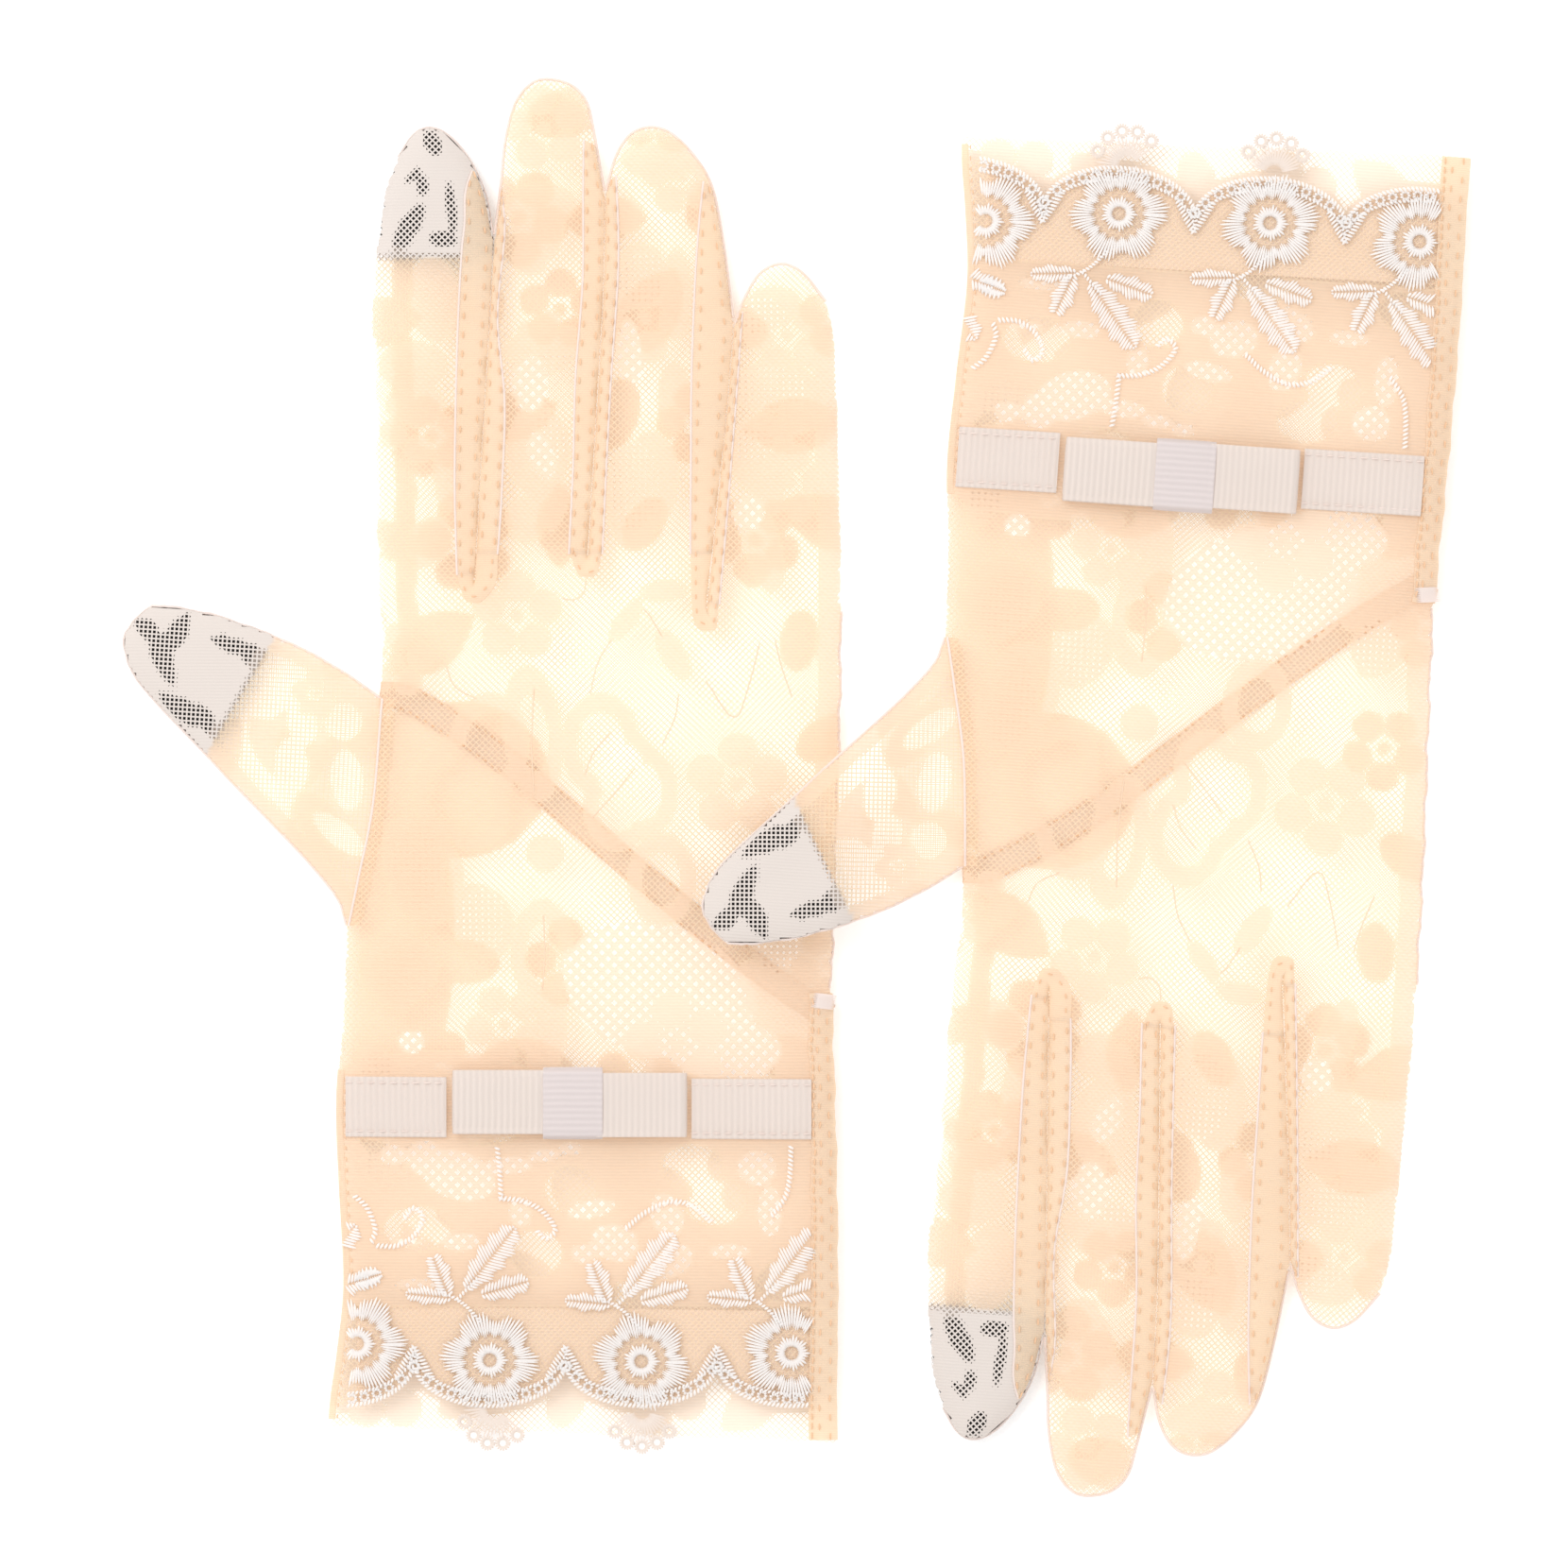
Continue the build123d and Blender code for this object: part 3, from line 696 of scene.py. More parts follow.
def cloth(name, colour, second, through, sheen, rib=None, rough=0.85, work_colour=None, sheer=0.0):
    """A thin woven material, in a mix of two yarn colours.

    work_colour is that of the lace's closed work, rib the direction and pitch of its ribs, through the
    share of light that comes from behind, and sheer the share that passes straight between the yarns.
    """
    material = bpy.data.materials.new(name)
    material.use_nodes = True
    nodes, links = material.node_tree.nodes, material.node_tree.links
    shader = nodes["Principled BSDF"]
    set_inputs(shader, {"Roughness": rough, "Sheen Weight": sheen, "Sheen Roughness": 0.5,
                        "Specular IOR Level": 0.2})
    uv = nodes.new("ShaderNodeUVMap")
    uv.uv_map = "cloth"
    patches = nodes.new("ShaderNodeTexNoise")
    set_inputs(patches, {"Scale": 9.0, "Detail": 4.0})
    links.new(uv.outputs[0], patches.inputs["Vector"])
    tint = tinted(nodes, links, patches.outputs["Fac"], srgb(colour), srgb(second))
    if work_colour:
        tint = tinted(nodes, links, point_value(nodes, "work"), tint, srgb(work_colour))
    if rib:
        tint = ribbed(nodes, links, uv.outputs[0], shader, tint, rib)
    if sheer:
        tint = tinted(nodes, links, point_value(nodes, "sheer"), srgb(LINED_TINT), tint)
    links.new(tint, shader.inputs["Base Color"])
    surface = shader.outputs[0]
    if through:
        lit = nodes.new("ShaderNodeBsdfTranslucent")
        links.new(tint, lit.inputs["Color"])
        share = unlined(nodes, links, through) if sheer else through
        surface = mixed(nodes, links, surface, lit.outputs[0], share)
    if sheer:
        clear = nodes.new("ShaderNodeBsdfTransparent")
        surface = mixed(nodes, links, surface, clear.outputs[0], unlined(nodes, links, sheer))
    links.new(surface, nodes["Material Output"].inputs["Surface"])
    return material


def set_inputs(node, values):
    """Sets a node's inputs by name."""
    for name, value in values.items():
        node.inputs[name].default_value = value


def point_value(nodes, name):
    """The socket of a value that the mesh holds at its points."""
    attribute = nodes.new("ShaderNodeAttribute")
    attribute.attribute_name = name
    return attribute.outputs["Fac"]


def tinted(nodes, links, share, first, second, blend="MIX"):
    """Two colours mixed; share is the second one's. Each of the three is a number or a socket."""
    mix = nodes.new("ShaderNodeMix")
    mix.data_type = "RGBA"
    mix.blend_type = blend
    for index, value in ((0, share), (6, first), (7, second)):
        if isinstance(value, (float, tuple)):
            mix.inputs[index].default_value = value
        else:
            links.new(value, mix.inputs[index])
    return mix.outputs[2]


def ribbed(nodes, links, place, shader, tint, rib):
    """The tint with painted shade in the grooves between the ribs and a slight painted highlight on their
    crests; the ribs also stand up from the shader's surface.
    """
    direction, pitch = rib
    wave = nodes.new("ShaderNodeTexWave")
    wave.bands_direction = direction
    set_inputs(wave, {"Scale": 10 * math.pi / pitch, "Distortion": 0.4, "Detail": 1.0})
    links.new(place, wave.inputs["Vector"])
    # painted shade in the grooves, a slight painted highlight on the crests
    shade = nodes.new("ShaderNodeMapRange")
    set_inputs(shade, {"To Min": 0.90, "To Max": 1.04})
    links.new(wave.outputs["Fac"], shade.inputs["Value"])
    relief = nodes.new("ShaderNodeBump")
    set_inputs(relief, {"Strength": 0.25, "Distance": 0.0002})
    links.new(wave.outputs["Fac"], relief.inputs["Height"])
    links.new(relief.outputs[0], shader.inputs["Normal"])
    return tinted(nodes, links, 0.5, tint, shade.outputs[0], "MULTIPLY")


def unlined(nodes, links, amount):
    """The amount, less over the dark lining, which shows only through the net's holes."""
    share = nodes.new("ShaderNodeMath")
    share.operation = "MULTIPLY"
    share.inputs[1].default_value = amount
    links.new(point_value(nodes, "sheer"), share.inputs[0])
    return share.outputs[0]


def mixed(nodes, links, first, second, share):
    """Two shaders mixed; share is the second one's, a number or a socket."""
    blend = nodes.new("ShaderNodeMixShader")
    if isinstance(share, float):
        blend.inputs[0].default_value = share
    else:
        links.new(share, blend.inputs[0])
    links.new(first, blend.inputs[1])
    links.new(second, blend.inputs[2])
    return blend.outputs[0]


MATERIALS = {
    "lace": cloth("lace", "#fbe9cf", "#fae5c8", rib=("Y", 0.53), work_colour="#fbe4cc", through=0.42,
                  sheen=0.1, sheer=0.24),
    "palm_lace": cloth("palm_lace", "#fbebd5", "#fbe8cf", rib=("Y", 0.53), work_colour="#fcecdb",
                       through=0.42, sheen=0.1, sheer=0.24),
    # palm_lace a little darker and oranger, as painted shade for the palm layer under the back of the hand
    # and the fingers; the cuff and the thumb keep palm_lace
    "shaded_palm_lace": cloth("shaded_palm_lace", "#fbebd4", "#fbe7cd", rib=("Y", 0.53), work_colour="#fbe5cf",
                       through=0.42, sheen=0.1, sheer=0.24),
    "tricot": cloth("tricot", "#fff3e2", "#feedd6", rib=("Y", 0.35), through=0.5, sheen=0.1),
    "double_net": cloth("double_net", "#fff0e2", "#feecda", rib=("Y", 0.5), through=0.36, sheen=0.1),
    "grosgrain": cloth("grosgrain", "#efe3db", "#ecdfd6", rib=("X", RIB), through=0.2, sheen=0.25,
                       rough=0.7),
    "wrap": cloth("wrap", "#eadfdd", "#e6dbd9", rib=("Y", RIB), through=0.2, sheen=0.25, rough=0.7),
    "embroidery": cloth("embroidery", "#fffcfa", "#fdf8f5", through=0.3, sheen=0.2, rough=0.5),
    "touch": cloth("touch", "#262323", "#3b3634", rib=("Y", 0.4), through=0.0, sheen=0.1),
    "stitch": cloth("stitch", "#f3cdaa", "#eec39c", through=0.1, sheen=0.1),
    "thread": cloth("thread", "#faeee8", "#f8e7de", through=0.2, sheen=0.1),
    "picot": cloth("picot", "#f1e4da", "#eedfd3", through=0.12, sheen=0.2, rough=0.5),
    "lace_cord": cloth("lace_cord", "#fbeddb", "#fae8d2", through=0.4, sheen=0.1),
}


def finish_piece(glove, piece, material, part, *nodes):
    """Gives a piece its material and hides the nodes it stands for; a piece of the hand is attached to the
    hand's body, and any other piece keeps its place in its points.
    """
    piece.data.materials.append(MATERIALS[material])
    body = f"{glove.hand}_{part}"
    if part == "hand":
        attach(piece, body)
    else:
        start, end = fold_zone(glove, part)
        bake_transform(piece)
    if nodes:
        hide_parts(*[f"{glove.hand}_{n}" for n in nodes])
    return piece


def fold_zone(glove, part):
    """Two points in the row frame, FOLD_FROM and FOLD_TO out from the hinge of a finger or the thumb, at the
    back's height.
    """
    root = glove.roots[part]
    out = np.array([0.0, 1.0])
    if part == "thumb":
        run = FOLD[-1] - FOLD[0]
        out = np.array([-run[1], run[0]]) / np.hypot(*run)
    ends = [np.append(root + out * far, BACK_Z) for far in (FOLD_FROM, FOLD_TO)]
    return [tuple(glove.place(e)[0]) for e in ends]


# ================================================================ lace panels
def scallop(x):
    """The embroidered edge of the upper cuff layer: its y at each x."""
    from_middle = (np.asarray(x) - SCALLOP_X + SCALLOP_PITCH / 2) % SCALLOP_PITCH - SCALLOP_PITCH / 2
    return SCALLOP_Y - SCALLOP_DEEP * np.sqrt(np.clip(1 - (from_middle / SCALLOP_HALF) ** 2, 0, 1))


def finger_roots(glove, root_gap):
    """The hand's upper edge: a step at each finger's root, from the thumb's side."""
    xs = (-60, CROTCH["index"][0], CROTCH["middle"][0], CROTCH["ring"][0] + 0.5, 60)
    top = []
    for name, xa, xb in zip(FINGERS, xs, xs[1:]):
        y = glove.roots[name][1] + root_gap
        top += [(xa, y), (xb, y)]
    return top


def hand_outline(glove, low, high, layer, root_gap=0.0):
    """A hand or cuff panel between two heights, closed by the finger roots or the cuff's edge."""
    left = np.vstack([THUMB_SIDE[:-1], FOLD[:-1], INDEX_SIDE])
    left, right = between(left, low, high + root_gap), between(LITTLE_SIDE, low, high + root_gap)
    top = [(-60, high), (60, high)]
    if high > HAND_TOP:
        top = finger_roots(glove, root_gap)
        left = between(left, low, glove.roots["index"][1] + root_gap)
        right = between(right, low, glove.roots["little"][1] + root_gap)
    top[0] = (left[-1][0], top[0][1])
    top[-1] = (right[-1][0], top[-1][1])
    bottom = [(right[0][0], low), (left[0][0], low)]
    if low <= 0:
        xs = np.linspace(right[0][0], left[0][0], 120)
        ys = scallop(xs) if layer == "back" else np.interp(xs, (xs[-1], xs[0]), CUFF_OPEN_Y)
        bottom = np.stack([xs, ys], 1)
        left, right = left[left[:, 1] > ys[-1]], right[right[:, 1] > ys[0]]
    return np.vstack([left, top, right[::-1], bottom])


def finger_outline(glove, name, root_gap=0.0):
    """A finger's plan, from its root round its tip."""
    k = FINGERS.index(name)
    root = glove.roots[name][1] - root_gap
    left = INDEX_SIDE if k == 0 else SLITS[FINGERS[k - 1]][::-1]
    right = LITTLE_SIDE if k == 3 else SLITS[name][::-1]
    left = left[left[:, 1] > root]
    right = right[right[:, 1] > root]
    left = np.vstack([[left[0][0], root], left])
    right = np.vstack([[right[0][0], root], right])
    return np.vstack([left[:-1], TIPS[name], right[::-1][1:]])


def thumb_outline():
    """The thumb's plan, running a little way in under the edge of the hand."""
    under = FOLD + np.array([THUMB_UNDER, 0])
    return np.vstack([THUMB_EDGE, under])


# The palm layer of the hand and the fingers takes the lace with painted shade; its cuff takes palm_lace.
LAYERS = {"back": dict(motif=back_motif, coarse=coarse_ground, turn=0.0, shift=(0, 0), rows=rowed,
                       material="lace", cuff="lace"),
          "palm": dict(motif=palm_motif, coarse=coarse_ground, turn=0.035, shift=(0.3, 0.2), rows=None,
                       material="shaded_palm_lace", cuff="palm_lace")}
panel_cache = {}


def panel(key, keep, edge, layer, **changes):
    """A lace panel's flat net, made once for both gloves."""
    if key not in panel_cache:
        how = {**LAYERS[layer], **changes}
        panel_cache[key] = net(keep, edge, how["motif"], how["coarse"], how["turn"], how["shift"],
                               how["rows"], layer == "palm")
    return panel_cache[key]


def lace_piece(glove, name, flat, height, material, part, *nodes):
    """A piece from a flat net, raised to the height of its layer."""
    points, faces, work = flat
    if glove.mirrored:
        faces = faces[:, ::-1]
    placed = glove.place(np.column_stack([points, height(points)]))
    piece = build(f"{glove.hand}_{name}", placed, faces, points, work, 1 - lined(points))
    return finish_piece(glove, piece, material, part, *nodes)


def lined(p):
    """Where the cloth has the dark lining behind it: 1 over it, 0 elsewhere."""
    index = (p[:, 1] > TOUCH_INDEX_Y - 1) & (p[:, 0] < TIP_EDGE_X)
    thumb = (thumb_lining(p) > -1) & (p[:, 0] < THUMB_START)
    return (index | (thumb & (p[:, 1] > 100))).astype(float)


def thumb_lining(p):
    """How far each point is inside the thumb's lined tip, which ends at a slanting edge."""
    return TOUCH_THUMB_X - (p[:, 0] - 0.58 * (p[:, 1] - 136.5))


# The leaf-shaped patches of open net over the thumb's lining.
THUMB_PATCHES = ((-70.2, 133.0, 2.0, 6.4, 0.35), (-67.6, 136.6, 2.0, 4.4, -0.5),
                 (-72.6, 137.4, 1.8, 3.2, 0.9), (-66.0, 123.4, 2.1, 6.2, 1.0), (-62.6, 121.6, 1.8, 4.0, 0.4),
                 (-57.4, 134.6, 1.9, 5.2, 1.3), (-55.2, 132.6, 1.5, 3.4, 0.6))
THUMB_OVALS = ((-50.5, 118.4, 4.2, 7.0, 0.5), (-43, 104, 3.0, 6.5, 0.6), (-44.5, 118, 3.0, 7.5, -0.3),
               (-37.5, 122, 3.5, 5.5, 0.3))
# Patches of open net between the lining and the thumb's root, in both layers.
THUMB_LIGHTS = ((-53.0, 126.2, 4.0, 4.4, 0.3), (-46.4, 121.2, 2.8, 3.8, 0.2), (-39.4, 121.6, 3.4, 3.4, 0.0),
                (-48.2, 114.4, 3.0, 5.0, 0.1), (-39.0, 111.8, 3.1, 5.4, 0.1),
                (-40.4, 102.8, 5.8, 2.4, -0.68))


def thumb_lights(p):
    """How far inside one of those patches each point is, mm."""
    return ellipses(p, THUMB_LIGHTS)


def thumb_palm_motif(p):
    """The thumb's palm side: the palm's lace, open where the upper side is."""
    return np.minimum(palm_motif(p), -thumb_lights(p))


def thumb_motif(p):
    """The thumb's lace: leaves and rings along its length, closed over the tip but for open patches."""
    lining = thumb_lining(p)
    patches = np.maximum.reduce([leaf(p, *patch) for patch in THUMB_PATCHES])
    shape = np.minimum(lining, -patches)
    shape = np.maximum(shape, ellipses(p, THUMB_OVALS))
    shape = np.minimum(shape, -thumb_lights(p))
    shape = np.maximum(shape, flower(p, -44.2, 126.4, 3.8, 0.4))
    edge = 2.4 - side_distance(p)
    return np.maximum(shape, np.where(p[:, 0] > -64, edge, FAR_OUT))


def lace_panels(glove):
    """The lace of both layers of the hand, the cuff and the fingers, and of the thumb."""
    for layer, how in LAYERS.items():
        height = glove.back if layer == "back" else glove.palm
        hand_keep = hand_outline(glove, CUFF_TOP, HAND_END, layer)
        hand_edge = hand_outline(glove, CUFF_TOP - PANEL_SPARE, HAND_END, layer, root_gap=PANEL_SPARE)
        flat = panel(("hand", layer), hand_keep, hand_edge, layer)
        nodes = ("back_panel",) if layer == "back" else ("palm_panel", "heel_panel")
        lace_piece(glove, f"hand_{layer}_lace", flat, height, how["material"], "hand", *nodes)
        cuff_keep = hand_outline(glove, CUFF_END, CUFF_TOP, layer)
        cuff_edge = hand_outline(glove, CUFF_END, CUFF_TOP + PANEL_SPARE, layer)
        flat = panel(("cuff", layer), cuff_keep, cuff_edge, layer)
        lace_piece(glove, f"cuff_{layer}_lace", flat, height, how["cuff"], "hand", f"cuff_{layer}")
        for name in FINGERS:
            keep, edge = finger_outline(glove, name), finger_outline(glove, name, root_gap=PANEL_SPARE)
            flat = panel((name, layer), keep, edge, layer)
            lace_piece(glove, f"{name}_{layer}_lace", flat, height, how["material"], name, f"{name}_{layer}")
    keep = thumb_outline()
    flat = panel(("thumb", "back"), keep, keep, "back", motif=thumb_motif, coarse=no_coarse, turn=0.72)
    lace_piece(glove, "thumb_back_lace", flat, glove.thumb_back, "lace", "thumb", "thumb_sleeve")
    flat = panel(("thumb", "palm"), keep, keep, "palm", motif=thumb_palm_motif, turn=0.75)
    lace_piece(glove, "thumb_palm_lace", flat, glove.thumb_palm, "palm_lace", "thumb")


# ================================================================ strips, stitches and threads
def resample(line, count):
    """The same line with evenly spaced points."""
    line = np.asarray(line, float)
    far = np.concatenate([[0], np.cumsum(np.linalg.norm(np.diff(line, axis=0), axis=1))])
    at = np.linspace(0, far[-1], count)
    return np.stack([np.interp(at, far, line[:, k]) for k in range(line.shape[1])], 1)


def length(line):
    """How long a line is."""
    return np.linalg.norm(np.diff(np.asarray(line, float), axis=0), axis=1).sum()


def heading(line):
    """The unit direction of a line at each of its points."""
    ahead = np.gradient(np.asarray(line, float), axis=0)
    return ahead / np.maximum(np.linalg.norm(ahead, axis=1, keepdims=True), 1e-9)


def beside(line, shift):
    """The line moved sideways, to its left."""
    ahead = heading(line)
    return line + shift * np.stack([-ahead[:, 1], ahead[:, 0]], 1)


def raised(flat, height, over):
    """Flat points set on the cloth, or over it."""
    return np.column_stack([flat, height(flat) + over])


def solid_piece(glove, name, points, faces, material, part, *nodes):
    """A closed piece from points in the glove's frame."""
    placed = glove.place(points)
    piece = build(f"{glove.hand}_{name}", placed, outward(placed, faces), points[:, :2])
    return finish_piece(glove, piece, material, part, *nodes)


def strip(edge_a, edge_b, height, over, thick, arch, rows=None):
    """A soft strip lying on the cloth between two lines, plump by arch in its middle."""
    rows = rows or max(8, int(length(edge_a) / 0.8))
    a, b = resample(edge_a, rows), resample(edge_b, rows)
    s = np.linspace(0, 1, STRIP_ACROSS)[None, :, None]
    flat = a[:, None] * (1 - s) + b[:, None] * s
    z = height(flat.reshape(-1, 2)).reshape(rows, STRIP_ACROSS) + over
    z = z + arch * (1 - (2 * s[..., 0] - 1) ** 4)
    top = np.dstack([flat, z])
    return slab(top, np.dstack([flat, z - thick]))


def sewn(starts, ends, height, over, width, rise):
    """Stitches from starts to ends, all of them flat points, set on the cloth."""
    return stitches(raised(starts, height, over), raised(ends, height, over), width, rise)


def dashes(line, height, over, pitch=3.2, long=1.2, width=0.34, start=0.25):
    """Running stitches along a line: small threads, one every pitch."""
    total = length(line)
    at = np.arange(start * pitch, total - 0.3 * long, pitch)
    dense = resample(line, max(20, int(total * 4)))
    far = np.linspace(0, total, len(dense))
    middle = np.stack([np.interp(at, far, dense[:, k]) for k in range(2)], 1)
    ahead = np.stack([np.interp(at, far, heading(dense)[:, k]) for k in range(2)], 1)
    starts, ends = middle - ahead * long / 2, middle + ahead * long / 2
    return sewn(starts, ends, height, over, width, 0.08)


def thread_along(line, height, over, radius):
    """A thread that lies on the cloth along a line."""
    dense = resample(line, max(6, int(length(line) / 0.7)))
    return tube(raised(dense, height, over), radius)


# ================================================================ fingers' side strips
# Each strip's inner edge, from near the fingertip to the root. Its outer edge is the slit.
SIDE_STRIPS = {
    ("index", "right"): [(-17.7, 214.8), (-18.8, 211), (-18.9, 206), (-19.5, 200), (-20.2, 185),
                         (-20.6, 164), (-20.4, 152), (-20.1, 144)],
    ("middle", "left"): [(-12.9, 212), (-12.2, 204.5), (-13.4, 190), (-12.2, 176), (-12.6, 162),
                         (-13.2, 152), (-13.8, 147)],
    ("middle", "right"): [(1.2, 220), (1.1, 212), (1.0, 196), (-0.2, 180), (-0.6, 165), (-1.2, 152),
                          (-1.3, 147)],
    ("ring", "left"): [(6.6, 214), (7.0, 205), (6.9, 196), (5.8, 180), (5.0, 165), (4.4, 152), (4.2, 147)],
    ("ring", "right"): [(21.4, 213), (20.6, 205), (20.0, 196), (19.4, 180), (19.3, 165), (19.2, 152),
                        (19.3, 147)],
    ("little", "left"): [(28.0, 191), (27.6, 186), (27.2, 180), (26.2, 167), (25.2, 154.4), (24.2, 143),
                         (24.0, 139)],
}


def at_height(line, y):
    """The x of a line that runs down -Y, at one height."""
    return np.interp(-y, -line[:, 1], line[:, 0])


def slit_of(finger, side):
    """The slit on one side of a finger."""
    k = FINGERS.index(finger)
    return SLITS[finger if side == "right" else FINGERS[k - 1]]


def strip_edges(glove, finger, side):
    """The outer and inner edges of the strip on one side of a finger, from its tip down to its root."""
    inner = curve(SIDE_STRIPS[finger, side])
    slit, root = slit_of(finger, side), glove.roots[finger][1]
    away = -1 if side == "right" else 1
    outer = slit[(slit[:, 1] < inner[0][1]) & (slit[:, 1] > root)]
    outer = np.vstack([outer, [at_height(slit, root), root]]) + np.array([away * SLIT_GAP, 0])
    tip = TIPS[finger][TIPS[finger][:, 1] < inner[0][1]]
    tip = tip[tip[:, 0] > inner[0][0]] if side == "right" else tip[tip[:, 0] < inner[0][0]][::-1]
    if len(tip) > 1:
        outer = np.vstack([resample(tip, 6) + np.array([away * 0.3, 0]), outer[1:]])
    inner = np.vstack([inner[inner[:, 1] > root], [at_height(inner, root), root]])
    return outer, inner


def finger_strips(glove):
    """The plain net strips down the fingers' sides, each sewn on with two rows of stitches."""
    for finger in FINGERS:
        bands, rows, cords = [], [], []
        for side in [side for name, side in SIDE_STRIPS if name == finger]:
            outer, inner = strip_edges(glove, finger, side)
            bands.append(strip(outer, inner, glove.back, 0.12, thick=0.25, arch=0.3))
            a, b = resample(outer, 80), resample(inner, 80)
            for share, start in ((0.2, 0.2), (0.82, 0.7)):
                rows.append(dashes(a * (1 - share) + b * share, glove.back, 0.42, start=start))
            cords.append(thread_along(b, glove.back, 0.12, 0.2))
        solid_piece(glove, f"{finger}_side_strips", *joined(bands), "tricot", finger, f"{finger}_fourchette")
        solid_piece(glove, f"{finger}_strip_stitches", *joined(rows), "stitch", finger)
        rim = thread_along(TIPS[finger], edge_z, 0.0, 0.26)
        solid_piece(glove, f"{finger}_seam_cords", *joined([*cords, rim]), "thread", finger)


def crotch_strips(glove):
    """Between two fingers the strips run together and round the crotch, on the hand."""
    bands, rows = [], []
    for name, (x, y) in CROTCH.items():
        other = FINGERS[FINGERS.index(name) + 1]
        tops = (glove.roots[name][1] + STRIP_LAP, glove.roots[other][1] + STRIP_LAP)
        left, right = [at_height(curve(SIDE_STRIPS[key]), top) for top, key in
                       zip(tops, ((name, "right"), (other, "left")))]
        slit = SLITS[name]
        outer = curve([(left, tops[0]), (left + 0.3, y + 0.6), (x - 1.6, y - 2.4), (x, y - 3.0),
                       (x + 1.6, y - 2.4), (right - 0.3, y + 0.6), (right, tops[1])], step=0.5)
        inner = curve([(at_height(slit, tops[0]) - SLIT_GAP, tops[0]), (x - 0.14, y + 1.0), (x, y + 0.3),
                       (x + 0.14, y + 1.0), (at_height(slit, tops[1]) + SLIT_GAP, tops[1])], step=0.5)
        bands.append(strip(outer, inner, glove.back, 0.2, thick=0.25, arch=0.3, rows=40))
        a, b = resample(outer, 60), resample(inner, 60)
        rows.append(dashes(a * 0.75 + b * 0.25, glove.back, 0.4, pitch=2.4, long=1.0))
    solid_piece(glove, "crotch_strips", *joined(bands), "tricot", "hand")
    solid_piece(glove, "crotch_stitches", *joined(rows), "stitch", "hand")


# ================================================================ linings, seams and bands
def inner_sheet(outline, height, over):
    """A closed thin sheet with this outline, from rows across it."""
    low, high = outline[:, 1].min() + 0.25, outline[:, 1].max() - 0.25
    rows = []
    for y in np.linspace(low, high, max(6, int((high - low) / LINING_STEP))):
        ring = np.vstack([outline, outline[:1]])
        crossing = [xa + (xb - xa) * (y - ya) / (yb - ya) for (xa, ya), (xb, yb) in zip(ring, ring[1:])
                    if (ya > y) != (yb > y)]
        rows.append(np.stack([np.linspace(min(crossing) + 0.3, max(crossing) - 0.3, 24), np.full(24, y)], 1))
    flat = np.stack(rows)
    z = height(flat.reshape(-1, 2)).reshape(flat.shape[:2]) + over
    top = np.dstack([flat, z])
    return slab(top, np.dstack([flat, z - 0.2]))


def linings(glove):
    """The dark conductive tips, inside the index finger and the thumb."""
    outline = finger_outline(glove, "index")
    tip = outline[outline[:, 1] > TOUCH_INDEX_Y]
    sheets = [inner_sheet(tip, glove.back, -0.55), inner_sheet(tip, glove.palm, 0.6)]
    solid_piece(glove, "index_dark_lining", *joined(sheets), "touch", "index", "index_touch_lining")
    outline = THUMB_EDGE[thumb_lining(THUMB_EDGE) > 0]
    sheets = [inner_sheet(outline, glove.thumb_back, -0.55), inner_sheet(outline, glove.thumb_palm, 0.6)]
    solid_piece(glove, "thumb_dark_lining", *joined(sheets), "touch", "thumb", "thumb_touch_lining")


PALM_SEAM = [(-33.4, 126.3), (-27.4, 125.0), (-12, 115), (4, 101.5), (19, 89), (31, 79.6), (42.5, 71.8)]


def palm_seam(glove):
    """The tape over the diagonal seam, on the inside of the palm, and its two rows of stitches."""
    line = curve(PALM_SEAM)
    over = 0.35
    tape = strip(beside(line, 2.3), beside(line, -2.3), glove.palm, over + 0.1, thick=0.2, arch=0.1)
    solid_piece(glove, "palm_seam_band", *tape, "double_net", "hand", "palm_seam_tape")
    rows = [dashes(beside(line, at), glove.palm, over + 0.4, pitch=1.5, long=0.8, width=0.3, start=k)
            for at, k in ((2.0, 0.2), (-2.0, 0.7))]
    solid_piece(glove, "palm_seam_stitches", *joined(rows), "stitch", "hand")


def side_seams(glove):
    """The seam strip on the little finger's side of the cuff, and the thumb side's narrow one."""
    edge = resample(between(LITTLE_SIDE, -0.6, SIDE_SEAM_TOP), 90)
    inner = edge - np.array([SIDE_SEAM_WIDE, 0]) * np.linspace(1.0, 0.8, 90)[:, None]
    body = strip(edge + np.array([0.3, 0]), inner, glove.back, 0.15, thick=0.3, arch=0.35)
    solid_piece(glove, "side_seam", *body, "tricot", "hand", "side_binding")
    rows = [dashes(edge * (1 - at) + inner * at, glove.back, 0.5, pitch=pitch, start=start)
            for at, pitch, start in ((0.2, 3.2, 0.2), (0.6, 3.2, 0.7), (0.88, 1.6, 0.5))]
    left = resample(between(THUMB_SIDE, 3.0, RIBBON_Y[1] + 2), 60)
    left_inner = left + np.array([1.1, 0])
    narrow = strip(left + np.array([-0.1, 0]), left_inner, glove.back, 0.1, thick=0.2, arch=0.15)
    solid_piece(glove, "thumb_side_seam", *narrow, "tricot", "hand", "thumb_side_binding")
    rows.append(dashes(left + np.array([1.4, 0]), glove.back, 0.25, pitch=1.9, long=0.8, width=0.28))
    solid_piece(glove, "side_seam_stitches", *joined(rows), "stitch", "hand")


def bar_tack(glove):
    """The block of close stitches where the side seam strip ends."""
    at = np.linspace(0, 1, 9)[:, None]
    starts = np.array([39.6, 73.6]) + at * np.array([0.5, 2.2])
    ends = starts + np.array([3.9, -0.5])
    tack = sewn(starts, ends, glove.back, 0.5, 0.42, 0.1)
    solid_piece(glove, "bar_tack", *tack, "thread", "hand")


